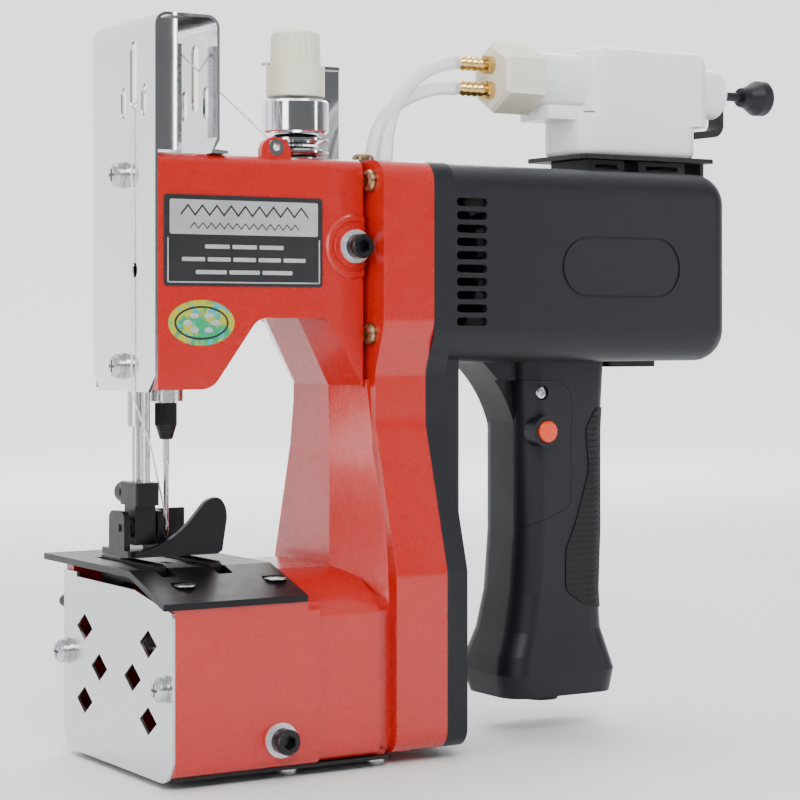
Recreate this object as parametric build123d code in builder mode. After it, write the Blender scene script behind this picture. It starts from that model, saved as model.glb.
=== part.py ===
from build123d import *
import os
from math import atan2, cos, degrees, pi, radians, sin, sqrt, tan

# Hand-held bag closer sewing machine, in millimetres.
# Working frame: the needle's axis is X = 0, Y = 0 and the ground is Z = 0. +X runs from the needle
# towards the handle, -Y is the side with the label, +Z is up. save() moves every finished piece so
# that the origin is the centre of the bottom of the whole machine's box.

os.makedirs("parts", exist_ok=True)

# ---- limits of the whole machine, in the working frame
X_FRONT = -27.2  # outer ends of the screws on the box front plate
X_REAR = 310.6  # end of the oil pump's knob
Y_NEAR = -58.2  # outer end of the lower cap screw
Y_FAR = 66.0  # end of the pin on the far side of the box
CENTRE_X = (X_FRONT + X_REAR) / 2
CENTRE_Y = (Y_NEAR + Y_FAR) / 2

# ---- casting
WALL = 4.0
HEAD_FRONT = -17.4
HEAD_BACK = 74.3
HEAD_HALF = 29.0
HEAD_FLOOR = 151.4
HEAD_TOP = 243.7
ARCH_TOP = 179.4
NECK_HALF = 24.0
FLANGE_FRONT = 77.0
SEAM = 101.0
BOX_FRONT = -20.8
BOX_HALF = 51.0
BOX_FLOOR = 5.0
BOX_TOP = 69.4
COVER_LOW = 3.6  # underside of the bottom cover

# ---- needle plate: flat at the back, sloping down towards the label side
PLATE_TOP = 81.6
PLATE_T = 2.6
PLATE_X = (-26.0, 36.0)
PLATE_BREAK_Y = -21.0
PLATE_NEAR_Y = -52.0
PLATE_FAR_Y = 63.0
PLATE_LOW = 71.6
PLATE_SLOPE = (PLATE_TOP - PLATE_LOW) / (PLATE_BREAK_Y - PLATE_NEAR_Y)
SEAT_TOP = PLATE_TOP - PLATE_T

# ---- shafts and wheels
MAIN_Z = 202.4  # main shaft and motor axis
LOWER_Z = 45.0
SHAFT_R = 5.0
FIT = 0.05  # radial running clearance
CRANK_R = 10.0  # half of the needle bar's stroke
SYNC_R = 14.0
SYNC_X = (83.0, 90.0)
WHEEL_R = 32.0
PINION_R = 8.0
BELT_X = (92.0, 99.0)
BELT_T = 1.6

# ---- needle and presser
NEEDLE_BAR_R = 3.5
PRESSER_X = -12.6
PRESSER_R = 2.1
GUIDE_Y = -7.7
FOOT_LOW = 85.4
HINGE_Y = -3.0
HINGE_Z = 96.7

# ---- motor, handle
BARREL_HALF = 41.0
BARREL_LOW = 160.9
BARREL_R = 14.0
MOTOR_SEAM = 137.0
MOTOR_REAR = 258.0
SHELL = 3.0

# ---- oil pump, along X above the motor
OIL_Z = 284.6

# ---- tension
TENSION_X = 53.5
TENSION_Y = -10.0


def save(part, name):
    """Names a finished piece, moves it to the machine's own origin and writes it."""
    placed = part.moved(Location((-CENTRE_X, -CENTRE_Y, 0)))
    placed.label = name
    export_step(placed, f"parts/{name}.step")


def block(x, y, z, mode=Mode.ADD, corner=0.0):
    """A rectangular block between pairs of limits, with optional rounded upright corners."""
    with BuildSketch(Plane.XY.offset(z[0])) as outline:
        with Locations(((x[0] + x[1]) / 2, (y[0] + y[1]) / 2)):
            if corner:
                RectangleRounded(x[1] - x[0], y[1] - y[0], corner)
            else:
                Rectangle(x[1] - x[0], y[1] - y[0])
    extrude(outline.sketch, amount=z[1] - z[0], mode=mode)


def rod(origin, direction, radius, length, mode=Mode.ADD, bore=0.0):
    """A round rod or tube from a point along a direction."""
    with BuildSketch(Plane(origin=origin, z_dir=direction)) as outline:
        Circle(radius)
        if bore:
            Circle(bore, mode=Mode.SUBTRACT)
    extrude(outline.sketch, amount=length, mode=mode)


def turned(origin, direction, profile, mode=Mode.ADD):
    """A turned piece: profile gives (radius, distance along the axis) points, starting on the axis."""
    axis = Vector(*direction).normalized()
    side = Vector(0, 0, 1) if abs(axis.Z) < 0.9 else Vector(1, 0, 0)
    plane = Plane(origin=origin, x_dir=side, z_dir=side.cross(axis))
    with BuildSketch(plane) as outline:
        with BuildLine():
            Polyline(*profile, close=True)
        make_face()
    revolve(outline.sketch, axis=Axis(origin, direction), mode=mode)


def pan_screw(origin, direction, head_r, head_h, shank_r, shank_l, washers=()):
    """A cross-recessed pan head screw on its washers; the origin is where the lowest washer sits."""
    level = 0.0
    for washer_r, washer_t in washers:
        rod(Vector(*origin) + Vector(*direction) * level, direction, washer_r, washer_t)
        level += washer_t
    turned(
        origin,
        direction,
        (
            (0, -shank_l),
            (shank_r, -shank_l),
            (shank_r, level),
            (head_r, level),
            (head_r, level + head_h * 0.45),
            (head_r * 0.86, level + head_h * 0.8),
            (head_r * 0.55, level + head_h),
            (0, level + head_h),
        ),
    )
    slot = head_r * 1.05
    with BuildSketch(Plane(origin=Vector(*origin) + Vector(*direction) * (level + head_h * 0.45),
                           z_dir=direction)) as cross:
        Rectangle(slot, head_r * 0.24)
        Rectangle(head_r * 0.24, slot)
    extrude(cross.sketch, amount=head_h, mode=Mode.SUBTRACT)


def cap_screw(origin, direction, shank_l):
    """An M6 hexagon socket cap screw on a plain washer; the origin is on the seat."""
    seat = Vector(*origin)
    way = Vector(*direction)
    rod(origin, direction, 6.8, 1.2)
    turned(
        origin,
        direction,
        (
            (0, -shank_l),
            (3.0, -shank_l),
            (3.0, 1.2),
            (5.0, 1.2),
            (5.0, 6.6),
            (4.4, 7.2),
            (0, 7.2),
        ),
    )
    with BuildSketch(Plane(origin=seat + way * 4.0, z_dir=way)) as socket:
        RegularPolygon(2.5 / cos(pi / 6), 6)
    extrude(socket.sketch, amount=4, mode=Mode.SUBTRACT)


def rear_outline(plane, inset=0.0):
    """The outline shared by the casting's rear flange and the belt housing: wide at the looper box,
    narrow at the waist and wider again at the head."""
    half = BOX_HALF - inset
    waist = 34.3 - inset
    upper = BARREL_HALF - inset
    low = BOX_FLOOR + inset
    top = HEAD_TOP - inset
    side = ((half, low), (half, 77.0 - inset * 0.3), (waist, 136.0), (waist, 158.0 + inset * 0.3))
    side += ((upper, 176.0 + inset * 0.3), (upper, top))
    radii = (8.0, 8.0, 20.0, 12.0, 15.0, 9.0 - inset)
    other = tuple((-y, z) for y, z in reversed(side))
    with BuildSketch(plane) as outline:
        with BuildLine():
            FilletPolyline(*side, *other, radius=radii + tuple(reversed(radii)), close=True)
        make_face()
    return outline.sketch


def slab(x0, x1, width, low, high, corner, mode=Mode.ADD):
    """A block along X with a rounded rectangle section centred on Y = 0."""
    with BuildSketch(Plane.YZ.offset(x0)) as outline:
        with Locations((0, (low + high) / 2)):
            RectangleRounded(2 * width, high - low, corner)
    extrude(outline.sketch, amount=x1 - x0, mode=mode)


# ---- screw positions shared by the screws and the holes they go in
FACE_SCREWS = ((HEAD_FRONT, 0.0, 235.8), (HEAD_FRONT, 0.0, 160.3))
BOX_SCREWS = ((BOX_FRONT, -46.0, 38.7), (BOX_FRONT, 47.3, 42.4))
COVER_SCREWS = ((33.0, -40.0), (73.0, -40.0), (33.0, 40.0), (73.0, 40.0))
FLANGE_SCREWS = ((-31.0, 235.1), (-31.0, 173.0), (31.0, 235.1), (31.0, 173.0))
UPPER_CAP = (69.8, -HEAD_HALF - 1.5, 208.4)
LOWER_CAP = (24.5, -BOX_HALF, 16.0)
PLATE_SCREWS = ((-10.0, -37.0), (30.0, -36.0))
HOSE_ENTRIES = ((94.7, -13.0), (95.6, 1.0))
BRACKET_SCREW = (86.0, -9.5)

# ---- column: height, X of its front face, that face's half width, X and half width of its rear edges
COLUMN = (
    (57.0, 61.0, 24.5, 77.4, 46.2),
    (95.0, 63.6, 20.2, 77.4, 43.6),
    (126.0, 65.7, 16.8, 77.4, 32.6),
    (HEAD_FLOOR + 3.0, 66.6, 14.0, 76.0, 28.7),
)
# ---- its front face under the head: Y, and X at the head's floor and at the arch's top
ARCH_RIB = ((-28.9, 73.6, 58.8), (-14.0, 66.6, 52.5), (14.0, 66.6, 52.5), (28.9, 73.6, 58.8))
BOX_STEP_X = 41.8
BOX_REAR_X = 69.8
SHOULDER_Z = 62.5

# ==== main casting
with BuildPart() as main_casting:
    with BuildSketch(Plane.XZ.offset(-HEAD_HALF)):
        with BuildLine():
            FilletPolyline(
                (HEAD_FRONT, HEAD_FLOOR),
                (6.0, HEAD_FLOOR),
                (26.5, ARCH_TOP),
                (59.5, ARCH_TOP),
                (HEAD_BACK, HEAD_FLOOR),
                (HEAD_BACK, HEAD_TOP),
                (HEAD_FRONT, HEAD_TOP),
                radius=(0, 9, 8, 8, 0, 0, 0),
                close=True,
            )
        make_face()
    extrude(amount=2 * HEAD_HALF)
    fillet(main_casting.edges().filter_by(Axis.X).group_by(Axis.Z)[-1], 5)
    # neck that joins the head to the flange
    block((HEAD_BACK - 1, FLANGE_FRONT + 1), (-NECK_HALF, NECK_HALF), (HEAD_FLOOR, HEAD_TOP - 4))
    # column: a narrow front face and sides that flare back to the flange, wider at its foot
    for z, front, front_half, rear, rear_half in COLUMN:
        with BuildSketch(Plane.XY.offset(z)):
            Polygon(
                (front, -front_half),
                (rear, -rear_half),
                (FLANGE_FRONT + 1.5, -rear_half),
                (FLANGE_FRONT + 1.5, rear_half),
                (rear, rear_half),
                (front, front_half),
                align=None,
            )
    loft(ruled=True)
    # the column's front face runs on up under the head
    for y, low_x, high_x in ARCH_RIB:
        with BuildSketch(Plane.XZ.offset(-y)):
            Polygon(
                (high_x, ARCH_TOP),
                (low_x, HEAD_FLOOR + 0.8),
                (HEAD_BACK - 0.3, HEAD_FLOOR + 0.8),
                (HEAD_BACK - 0.3, ARCH_TOP + 3),
                (high_x, ARCH_TOP + 3),
                align=None,
            )
    loft(ruled=True)
    # looper box: a straight front part, and a rear part whose top falls away to both sides
    block((BOX_FRONT, BOX_STEP_X), (-BOX_HALF, BOX_HALF), (BOX_FLOOR, BOX_TOP))
    fillet(
        main_casting.edges()
        .filter_by(Axis.X)
        .filter_by(lambda e: abs(abs(e.center().Y) - BOX_HALF) < 0.1),
        4,
    )
    for x0, x1, half in ((PLATE_X[1], BOX_REAR_X, BOX_HALF - 1), (BOX_REAR_X, FLANGE_FRONT, BOX_HALF - 4.5)):
        with BuildSketch(Plane.YZ.offset(x0)) as hump:
            with BuildLine():
                Polyline((half, SHOULDER_Z), (half, BOX_FLOOR), (-half, BOX_FLOOR), (-half, SHOULDER_Z))
                ThreePointArc((-half, SHOULDER_Z), (13 - half, SHOULDER_Z + 10.7), (-22.0, SEAT_TOP))
                Line((-22.0, SEAT_TOP), (22.0, SEAT_TOP))
                ThreePointArc((22.0, SEAT_TOP), (half - 13, SHOULDER_Z + 10.7), (half, SHOULDER_Z))
            make_face()
            fillet(hump.vertices().group_by(Axis.Y)[0], 6.0)
        extrude(amount=x1 - x0)
    # seat of the needle plate
    near_seat = SEAT_TOP - PLATE_SLOPE * (PLATE_BREAK_Y + BOX_HALF)
    with BuildSketch(Plane.YZ.offset(BOX_FRONT)):
        with BuildLine():
            Polyline(
                (-BOX_HALF, BOX_TOP - 6),
                (BOX_HALF, BOX_TOP - 6),
                (BOX_HALF, SEAT_TOP),
                (PLATE_BREAK_Y, SEAT_TOP),
                (-BOX_HALF, near_seat),
                close=True,
            )
        make_face()
    extrude(amount=PLATE_X[1] - BOX_FRONT + 0.6)
    # rear flange
    extrude(rear_outline(Plane.YZ.offset(FLANGE_FRONT)), amount=SEAM - FLANGE_FRONT)
    # boss under the upper cap screw
    turned(
        (UPPER_CAP[0], -HEAD_HALF + 2, UPPER_CAP[2]),
        (0, -1, 0),
        ((0, 0), (13.0, 0), (13.0, 2.4), (12.2, 3.2), (10.4, 3.2), (10.0, 2.8), (9.4, 2.8), (9.0, 3.5), (0, 3.5)),
    )
    block((HEAD_BACK, FLANGE_FRONT), (-HEAD_HALF - 5, -NECK_HALF - 0.01), (185, 230), mode=Mode.SUBTRACT)

    # lug for the thread's eyelet
    with BuildSketch(Plane.XZ.offset(27.0)):
        with BuildLine():
            FilletPolyline((28.8, HEAD_TOP - 4), (42.0, HEAD_TOP - 4), (42.0, 251.4), (28.8, 251.4),
                           radius=(0, 0, 6, 6), close=True)
        make_face()
    extrude(amount=-3.0)
    rod((35.3, -35, 247.4), (0, 1, 0), 2.6, 20, mode=Mode.SUBTRACT)

    # hollows: belt space behind, head in front, looper box open in front and below
    extrude(rear_outline(Plane.YZ.offset(81.0), WALL), amount=SEAM - 81.0, mode=Mode.SUBTRACT)
    with BuildSketch(Plane.XZ.offset(-25.0)):
        with BuildLine():
            Polyline(
                (HEAD_FRONT, HEAD_FLOOR + WALL),
                (4.0, HEAD_FLOOR + WALL),
                (24.0, ARCH_TOP + WALL),
                (26.0, ARCH_TOP + WALL),
                (26.0, HEAD_TOP - WALL),
                (HEAD_FRONT, HEAD_TOP - WALL),
                close=True,
            )
        make_face()
    extrude(amount=50, mode=Mode.SUBTRACT)
    block((34.0, 63.0), (-25, 25), (ARCH_TOP + WALL, HEAD_TOP - WALL), mode=Mode.SUBTRACT)
    block((BOX_FRONT, 20.0), (-47, 47), (BOX_FLOOR, 64.0), mode=Mode.SUBTRACT)
    block((29.0, 73.0), (-43, 43), (BOX_FLOOR, 56.0), mode=Mode.SUBTRACT)
    block((29.0, 73.0), (-30, 30), (55.0, 64.0), mode=Mode.SUBTRACT)
    block((BOX_FRONT, 18.0), (-44, 44), (60.0, SEAT_TOP + 1), mode=Mode.SUBTRACT)
    # bearings of the looper's rocking shaft
    for side in (-1, 1):
        block((-12.0, 0.0), sorted((side * 30, side * 47.5)), (40.0, 60.0))
        rod((-6.0, side * 25, 50.0), (0, side, 0), 4.0 + FIT, 17, mode=Mode.SUBTRACT)
    # lugs for the face guard's screws
    block((HEAD_FRONT, -9.5), (-4.5, 4.5), (FACE_SCREWS[0][2] - 4.5, HEAD_TOP - 2))
    block((HEAD_FRONT, PRESSER_X - 2.6), (-6.0, 6.0), (HEAD_FLOOR + 2, FACE_SCREWS[1][2] + 4.5))
    # lugs for the front plate's screws and pillars for the bottom cover's screws
    for x, y, z in BOX_SCREWS:
        side = 1 if y > 0 else -1
        block((BOX_FRONT, -10), sorted((side * 41, side * 48)), (z - 7, z + 7))
    for x, y in COVER_SCREWS:
        side = 1 if y > 0 else -1
        block((x - 5.5, min(x + 5.5, 75)), sorted((side * 34.5, side * 45)), (BOX_FLOOR, 16))

    # bores for the shafts, bars and screws
    rod((20, 0, MAIN_Z), (1, 0, 0), 8.0, 66, mode=Mode.SUBTRACT)
    rod((15, 0, LOWER_Z), (1, 0, 0), 8.0, 70, mode=Mode.SUBTRACT)
    rod((0, 0, 140), (0, 0, 1), 6.0, 30, mode=Mode.SUBTRACT)
    rod((PRESSER_X, 0, 140), (0, 0, 1), 4.05, 30, mode=Mode.SUBTRACT)
    rod((PRESSER_X, GUIDE_Y, 140), (0, 0, 1), 1.75, 30, mode=Mode.SUBTRACT)
    block((-3.5, 3.5), (-13, -6), (HEAD_TOP - 6, HEAD_TOP + 1), mode=Mode.SUBTRACT)
    for x, y, z in FACE_SCREWS:
        rod((x - 1, y, z), (1, 0, 0), 2.55, 9, mode=Mode.SUBTRACT)
    for x, y, z in BOX_SCREWS:
        rod((x - 1, y, z), (1, 0, 0), 2.55, 11, mode=Mode.SUBTRACT)
    for x, y in COVER_SCREWS:
        rod((x, y, BOX_FLOOR - 1), (0, 0, 1), 2.05, 11, mode=Mode.SUBTRACT)
    for y, z in FLANGE_SCREWS:
        rod((FLANGE_FRONT - 1, y, z), (1, 0, 0), 2.05, 30, mode=Mode.SUBTRACT)
    rod((UPPER_CAP[0], -40, UPPER_CAP[2]), (0, 1, 0), 3.05, 27, mode=Mode.SUBTRACT)
    rod((LOWER_CAP[0], -60, LOWER_CAP[2]), (0, 1, 0), 3.05, 27, mode=Mode.SUBTRACT)
    rod((TENSION_X, TENSION_Y, HEAD_TOP - 6), (0, 0, 1), 3.05, 10, mode=Mode.SUBTRACT)
    rod((BRACKET_SCREW[0], BRACKET_SCREW[1], HEAD_TOP - 7), (0, 0, 1), 2.05, 10, mode=Mode.SUBTRACT)
    for x, y in HOSE_ENTRIES:
        rod((x, y, HEAD_TOP - 6), (0, 0, 1), 4.3, 10, mode=Mode.SUBTRACT)
    for x, y in PLATE_SCREWS:
        rod((x, y, BOX_TOP - 8), (0, 0, 1), 2.05, 20, mode=Mode.SUBTRACT)
save(main_casting.part, "main_casting")

# ==== face guard: the head's front plate, bent over the take-up and down behind it
GUARD_TOP = 297.7
with BuildPart() as face_guard:
    with BuildSketch(Plane.XZ.offset(-HEAD_HALF)):
        with BuildLine():
            FilletPolyline(
                (-18.6, 150.4),
                (-18.6, GUARD_TOP),
                (9.3, GUARD_TOP),
                (9.3, 249.0),
                (7.1, 245.4),
                (13.0, 244.9),
                (13.0, 243.7),
                (5.4, 243.7),
                (8.1, 250.0),
                (8.1, GUARD_TOP - 1.2),
                (HEAD_FRONT, GUARD_TOP - 1.2),
                (HEAD_FRONT, 150.4),
                radius=(0, 5.2, 5.2, 0, 0, 0, 0, 0, 0, 4, 4, 0),
                close=True,
            )
        make_face()
    extrude(amount=2 * HEAD_HALF)
    # cheek folded in along the near edge above the head
    block((HEAD_FRONT - 0.4, -9.0), (-29.0, -27.8), (244.4, GUARD_TOP - 2.5))
    # chamfered lower corners
    for side in (-1, 1):
        with BuildSketch(Plane.YZ.offset(-30)):
            with BuildLine():
                Polyline((side * 30, 149), (side * 21, 149), (side * 30, 158), close=True)
            make_face()
        extrude(amount=20, mode=Mode.SUBTRACT)
    # slots for the take-up in both legs, and screw and thread holes
    with BuildSketch(Plane.YZ.offset(-30)):
        with Locations((-9.4, 274.7)):
            SlotOverall(26.9, 6.2, rotation=90)
        with Locations((-0.1, 264.3), (-18.9, 264.3)):
            SlotOverall(12.5, 4.8, rotation=90)
    extrude(amount=50, mode=Mode.SUBTRACT)
    for x, y, z in FACE_SCREWS:
        rod((x - 3, y, z), (1, 0, 0), 2.7, 4, mode=Mode.SUBTRACT)
    rod((-22, -9.9, 198.2), (1, 0, 0), 3.0, 10, mode=Mode.SUBTRACT)
save(face_guard.part, "face_guard")

# ==== box front plate with its pattern of diamond holes
with BuildPart() as box_front_plate:
    with BuildSketch(Plane.YZ.offset(-22.0)):
        with BuildLine():
            FilletPolyline(
                (-BOX_HALF, 2.6),
                (BOX_HALF, 2.6),
                (BOX_HALF, 75.7),
                (38.0, 75.7),
                (38.0, 73.8),
                (-17.5, 73.6),
                (-50.4, 67.8),
                (-BOX_HALF, 66.0),
                radius=(10, 10, 0, 0, 0, 0, 0, 0),
                close=True,
            )
        make_face()
        with Locations((30, 54), (-30, 54), (15.7, 39.4), (-15.7, 39.4), (30, 24.4), (-30, 24.4)):
            Polygon((7.7, 0), (0, 5.5), (-7.7, 0), (0, -5.5), mode=Mode.SUBTRACT)
        with Locations(*((y, z) for x, y, z in BOX_SCREWS)):
            Circle(2.7, mode=Mode.SUBTRACT)
    extrude(amount=1.2)
save(box_front_plate.part, "box_front_plate")

# M5 screws of the face guard and of the box plate, each on two washers
with BuildPart() as plate_screws:
    for x, y, z in FACE_SCREWS:
        grip = 7.5 if z > 200 else 3.0
        pan_screw((-18.6, y, z), (-1, 0, 0), 4.75, 3.0, 2.45, grip, ((5.3, 1.0), (4.3, 1.2)))
    for x, y, z in BOX_SCREWS:
        pan_screw((-22.0, y, z), (-1, 0, 0), 4.75, 3.0, 2.45, 9.0, ((5.3, 1.0), (4.3, 1.2)))
save(plate_screws.part, "plate_screws")

# ==== bottom cover and its screws; their flat heads are what the machine stands on
with BuildPart() as bottom_cover:
    block((-20.0, 76.5), (-48, 48), (COVER_LOW, BOX_FLOOR), corner=4)
    for x, y in COVER_SCREWS:
        rod((x, y, 0), (0, 0, 1), 2.3, 6, mode=Mode.SUBTRACT)
save(bottom_cover.part, "bottom_cover")

with BuildPart() as bottom_cover_screws:
    for x, y in COVER_SCREWS:
        pan_screw((x, y, COVER_LOW), (0, 0, -1), 4.2, COVER_LOW, 1.95, 11.0)
save(bottom_cover_screws.part, "bottom_cover_screws")

# ==== needle plate, with slots for the feed dog and the needle's hole
DOG_X = 12.2
with BuildPart() as needle_plate:
    with BuildSketch(Plane.YZ.offset(PLATE_X[0])):
        with BuildLine():
            Polyline(
                (PLATE_FAR_Y, PLATE_TOP),
                (PLATE_BREAK_Y, PLATE_TOP),
                (PLATE_NEAR_Y, PLATE_LOW),
                (PLATE_NEAR_Y, PLATE_LOW - PLATE_T),
                (PLATE_BREAK_Y, PLATE_TOP - PLATE_T),
                (PLATE_FAR_Y, PLATE_TOP - PLATE_T),
                close=True,
            )
        make_face()
    extrude(amount=PLATE_X[1] - PLATE_X[0])
    for side in (-1, 1):
        block((side * DOG_X - 3.2, side * DOG_X + 3.2), (-28.5, 35), (60, 90), mode=Mode.SUBTRACT, corner=1.0)
    block((-1.6, 1.6), (-4, 4), (60, 90), mode=Mode.SUBTRACT, corner=1.5)
    for x, y in PLATE_SCREWS:
        rod((x, y, 60), (0, 0, 1), 2.05, 30, mode=Mode.SUBTRACT)
        drop = PLATE_TOP - PLATE_SLOPE * (PLATE_BREAK_Y - y)
        turned((x, y, drop + 1), (0, 0, -1), ((0, 0), (5.2, 0), (5.2, 1.2), (2.05, 3.2), (0, 3.2)),
               mode=Mode.SUBTRACT)
save(needle_plate.part, "needle_plate")

with BuildPart() as needle_plate_screws:
    for x, y in PLATE_SCREWS:
        drop = PLATE_TOP - PLATE_SLOPE * (PLATE_BREAK_Y - y)
        turned(
            (x, y, drop - 10),
            (0, 0, 1),
            ((0, 0), (1.95, 0), (1.95, 8.4), (4.6, 10.0), (4.6, 10.4), (0, 10.8)),
        )
        block((x - 3.6, x + 3.6), (y - 0.6, y + 0.6), (drop - 0.4, drop + 2), mode=Mode.SUBTRACT)
save(needle_plate_screws.part, "needle_plate_screws")

# ==== round inspection cover on the head's far side
with BuildPart() as head_side_cover:
    turned(
        (15, HEAD_HALF, 198.0),
        (0, 1, 0),
        ((0, 0), (30, 0), (30, 2.0), (28.4, 3.4), (25, 3.4), (23, 4.6), (18, 5.4), (0, 5.6)),
    )
save(head_side_cover.part, "head_side_cover")

# ==== black round-ended pin on the box's far side
with BuildPart() as box_side_pin:
    turned(
        (-16.0, BOX_HALF, 61.0),
        (0, 1, 0),
        ((0, 0), (4.0, 0), (4.0, 2.0), (2.5, 2.0), (2.5, 13.4), (1.6, 14.6), (0, 15.0)),
    )
save(box_side_pin.part, "box_side_pin")

# ==== cap screws and flange screws
with BuildPart() as cap_screws:
    cap_screw(UPPER_CAP, (0, -1, 0), 14.0)
    cap_screw(LOWER_CAP, (0, -1, 0), 14.0)
save(cap_screws.part, "cap_screws")

with BuildPart() as flange_screws:
    for y, z in FLANGE_SCREWS:
        pan_screw((FLANGE_FRONT, y, z), (-1, 0, 0), 4.7, 2.7, 1.95, 36.0)
    pan_screw((BRACKET_SCREW[0], BRACKET_SCREW[1], HEAD_TOP + 1.4), (0, 0, 1), 4.7, 2.7, 1.95, 7.0)
save(flange_screws.part, "flange_screws")

# ==== belt housing: vented barrel section with a leg down the back of the casting
BEARING_X = (103.0, 110.0)
with BuildPart() as belt_housing:
    extrude(rear_outline(Plane.YZ.offset(SEAM)), amount=9.7)
    slab(SEAM, MOTOR_SEAM, BARREL_HALF, BARREL_LOW, HEAD_TOP, BARREL_R)
    slab(SEAM, 119.5, 33.0, BOX_FLOOR, BARREL_LOW + 20, 6)
    extrude(rear_outline(Plane.YZ.offset(SEAM), 3.5), amount=5.7, mode=Mode.SUBTRACT)
    slab(SEAM, 116.5, 29.5, BOX_FLOOR + 3.5, 158, 4, mode=Mode.SUBTRACT)
    slab(112.0, MOTOR_SEAM, BARREL_HALF - SHELL, BARREL_LOW + SHELL, HEAD_TOP - SHELL, BARREL_R - SHELL,
         mode=Mode.SUBTRACT)
    rod((SEAM, 0, MAIN_Z), (1, 0, 0), 14.5, 11)
    rod((SEAM - 1, 0, MAIN_Z), (1, 0, 0), 6.5, 20, mode=Mode.SUBTRACT)
    rod((BEARING_X[0], 0, MAIN_Z), (1, 0, 0), 11.0, 20, mode=Mode.SUBTRACT)
    for y, z in FLANGE_SCREWS:
        rod((SEAM, y, z), (1, 0, 0), 4.5, 11.5)
        rod((SEAM - 1, y, z), (1, 0, 0), 2.05, 13, mode=Mode.SUBTRACT)
    for row in range(10):
        with BuildSketch(Plane.XZ.offset(-50)):
            with Locations((119.5, 178.0 + 5.47 * row)):
                SlotOverall(15.0, 3.4)
        extrude(amount=100, mode=Mode.SUBTRACT)
    fillet(
        belt_housing.edges()
        .filter_by(Axis.Z)
        .filter_by(lambda e: e.center().X > 119 and e.center().Z < 150 and e.length > 100),
        3,
    )
save(belt_housing.part, "belt_housing")

# ==== motor housing with the handle
HANDLE_LEVELS = (
    (170.0, 184.0, 25.0, 19.0),
    (158.0, 184.0, 23.5, 18.8),
    (131.0, 184.0, 22.0, 18.5),
    (87.0, 184.0, 22.0, 18.5),
    (61.0, 182.5, 22.5, 18.5),
    (44.0, 181.0, 24.5, 19.5),
    (34.0, 180.5, 28.0, 21.0),
    (26.0, 181.0, 30.0, 22.0),
    (16.0, 182.0, 28.0, 20.0),
)


def handle(grow):
    """The handle's rounded stack of sections, grown or shrunk all round."""
    for (z0, x0, a0, b0), (z1, x1, a1, b1) in zip(HANDLE_LEVELS[:-1], HANDLE_LEVELS[1:]):
        with BuildSketch(Plane.XY.offset(z0)) as upper:
            with Locations((x0, 0)):
                RectangleRounded(2 * (a0 + grow), 2 * (b0 + grow), 10 + grow)
        with BuildSketch(Plane.XY.offset(z1)) as lower:
            with Locations((x1, 0)):
                RectangleRounded(2 * (a1 + grow), 2 * (b1 + grow), 10 + grow)
        loft([upper.sketch.face(), lower.sketch.face()], ruled=True)


def side_region(points, radii, y0, y1, grow=0.0):
    """A prism across the handle whose side view is the given outline."""
    with BuildSketch(Plane.XZ.offset(-y1)) as outline:
        with BuildLine():
            FilletPolyline(*points, radius=radii, close=True)
        make_face()
        if grow:
            offset(amount=grow)
    return extrude(outline.sketch, amount=y1 - y0, mode=Mode.PRIVATE)


COVER_OUTLINE = ((150.0, 152.7), (185.9, 152.7), (185.9, 97.6), (174.6, 93.7), (163.0, 89.5), (150.0, 88.6))
COVER_RADII = (0, 10, 6, 12, 0, 0)
GRIP_OUTLINE = (
    (215.0, 140.5),
    (199.0, 140.5),
    (193.5, 131.5),
    (195.2, 113.0),
    (188.4, 91.8),
    (182.9, 79.0),
    (182.6, 61.5),
    (191.1, 55.5),
    (215.0, 50.0),
)
GRIP_RADII = (0, 4, 8, 14, 0, 6, 6, 6, 0)
BUTTON = (169.5, 130.9)
COVER_SCREW = (170.4, 147.4)

with BuildPart() as handle_body:
    handle(0.0)
with BuildPart() as handle_core:
    handle(-SHELL)
with BuildPart() as grip_skin:
    handle(0.5)
with BuildPart() as grip_seat:
    handle(-1.2)

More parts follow.
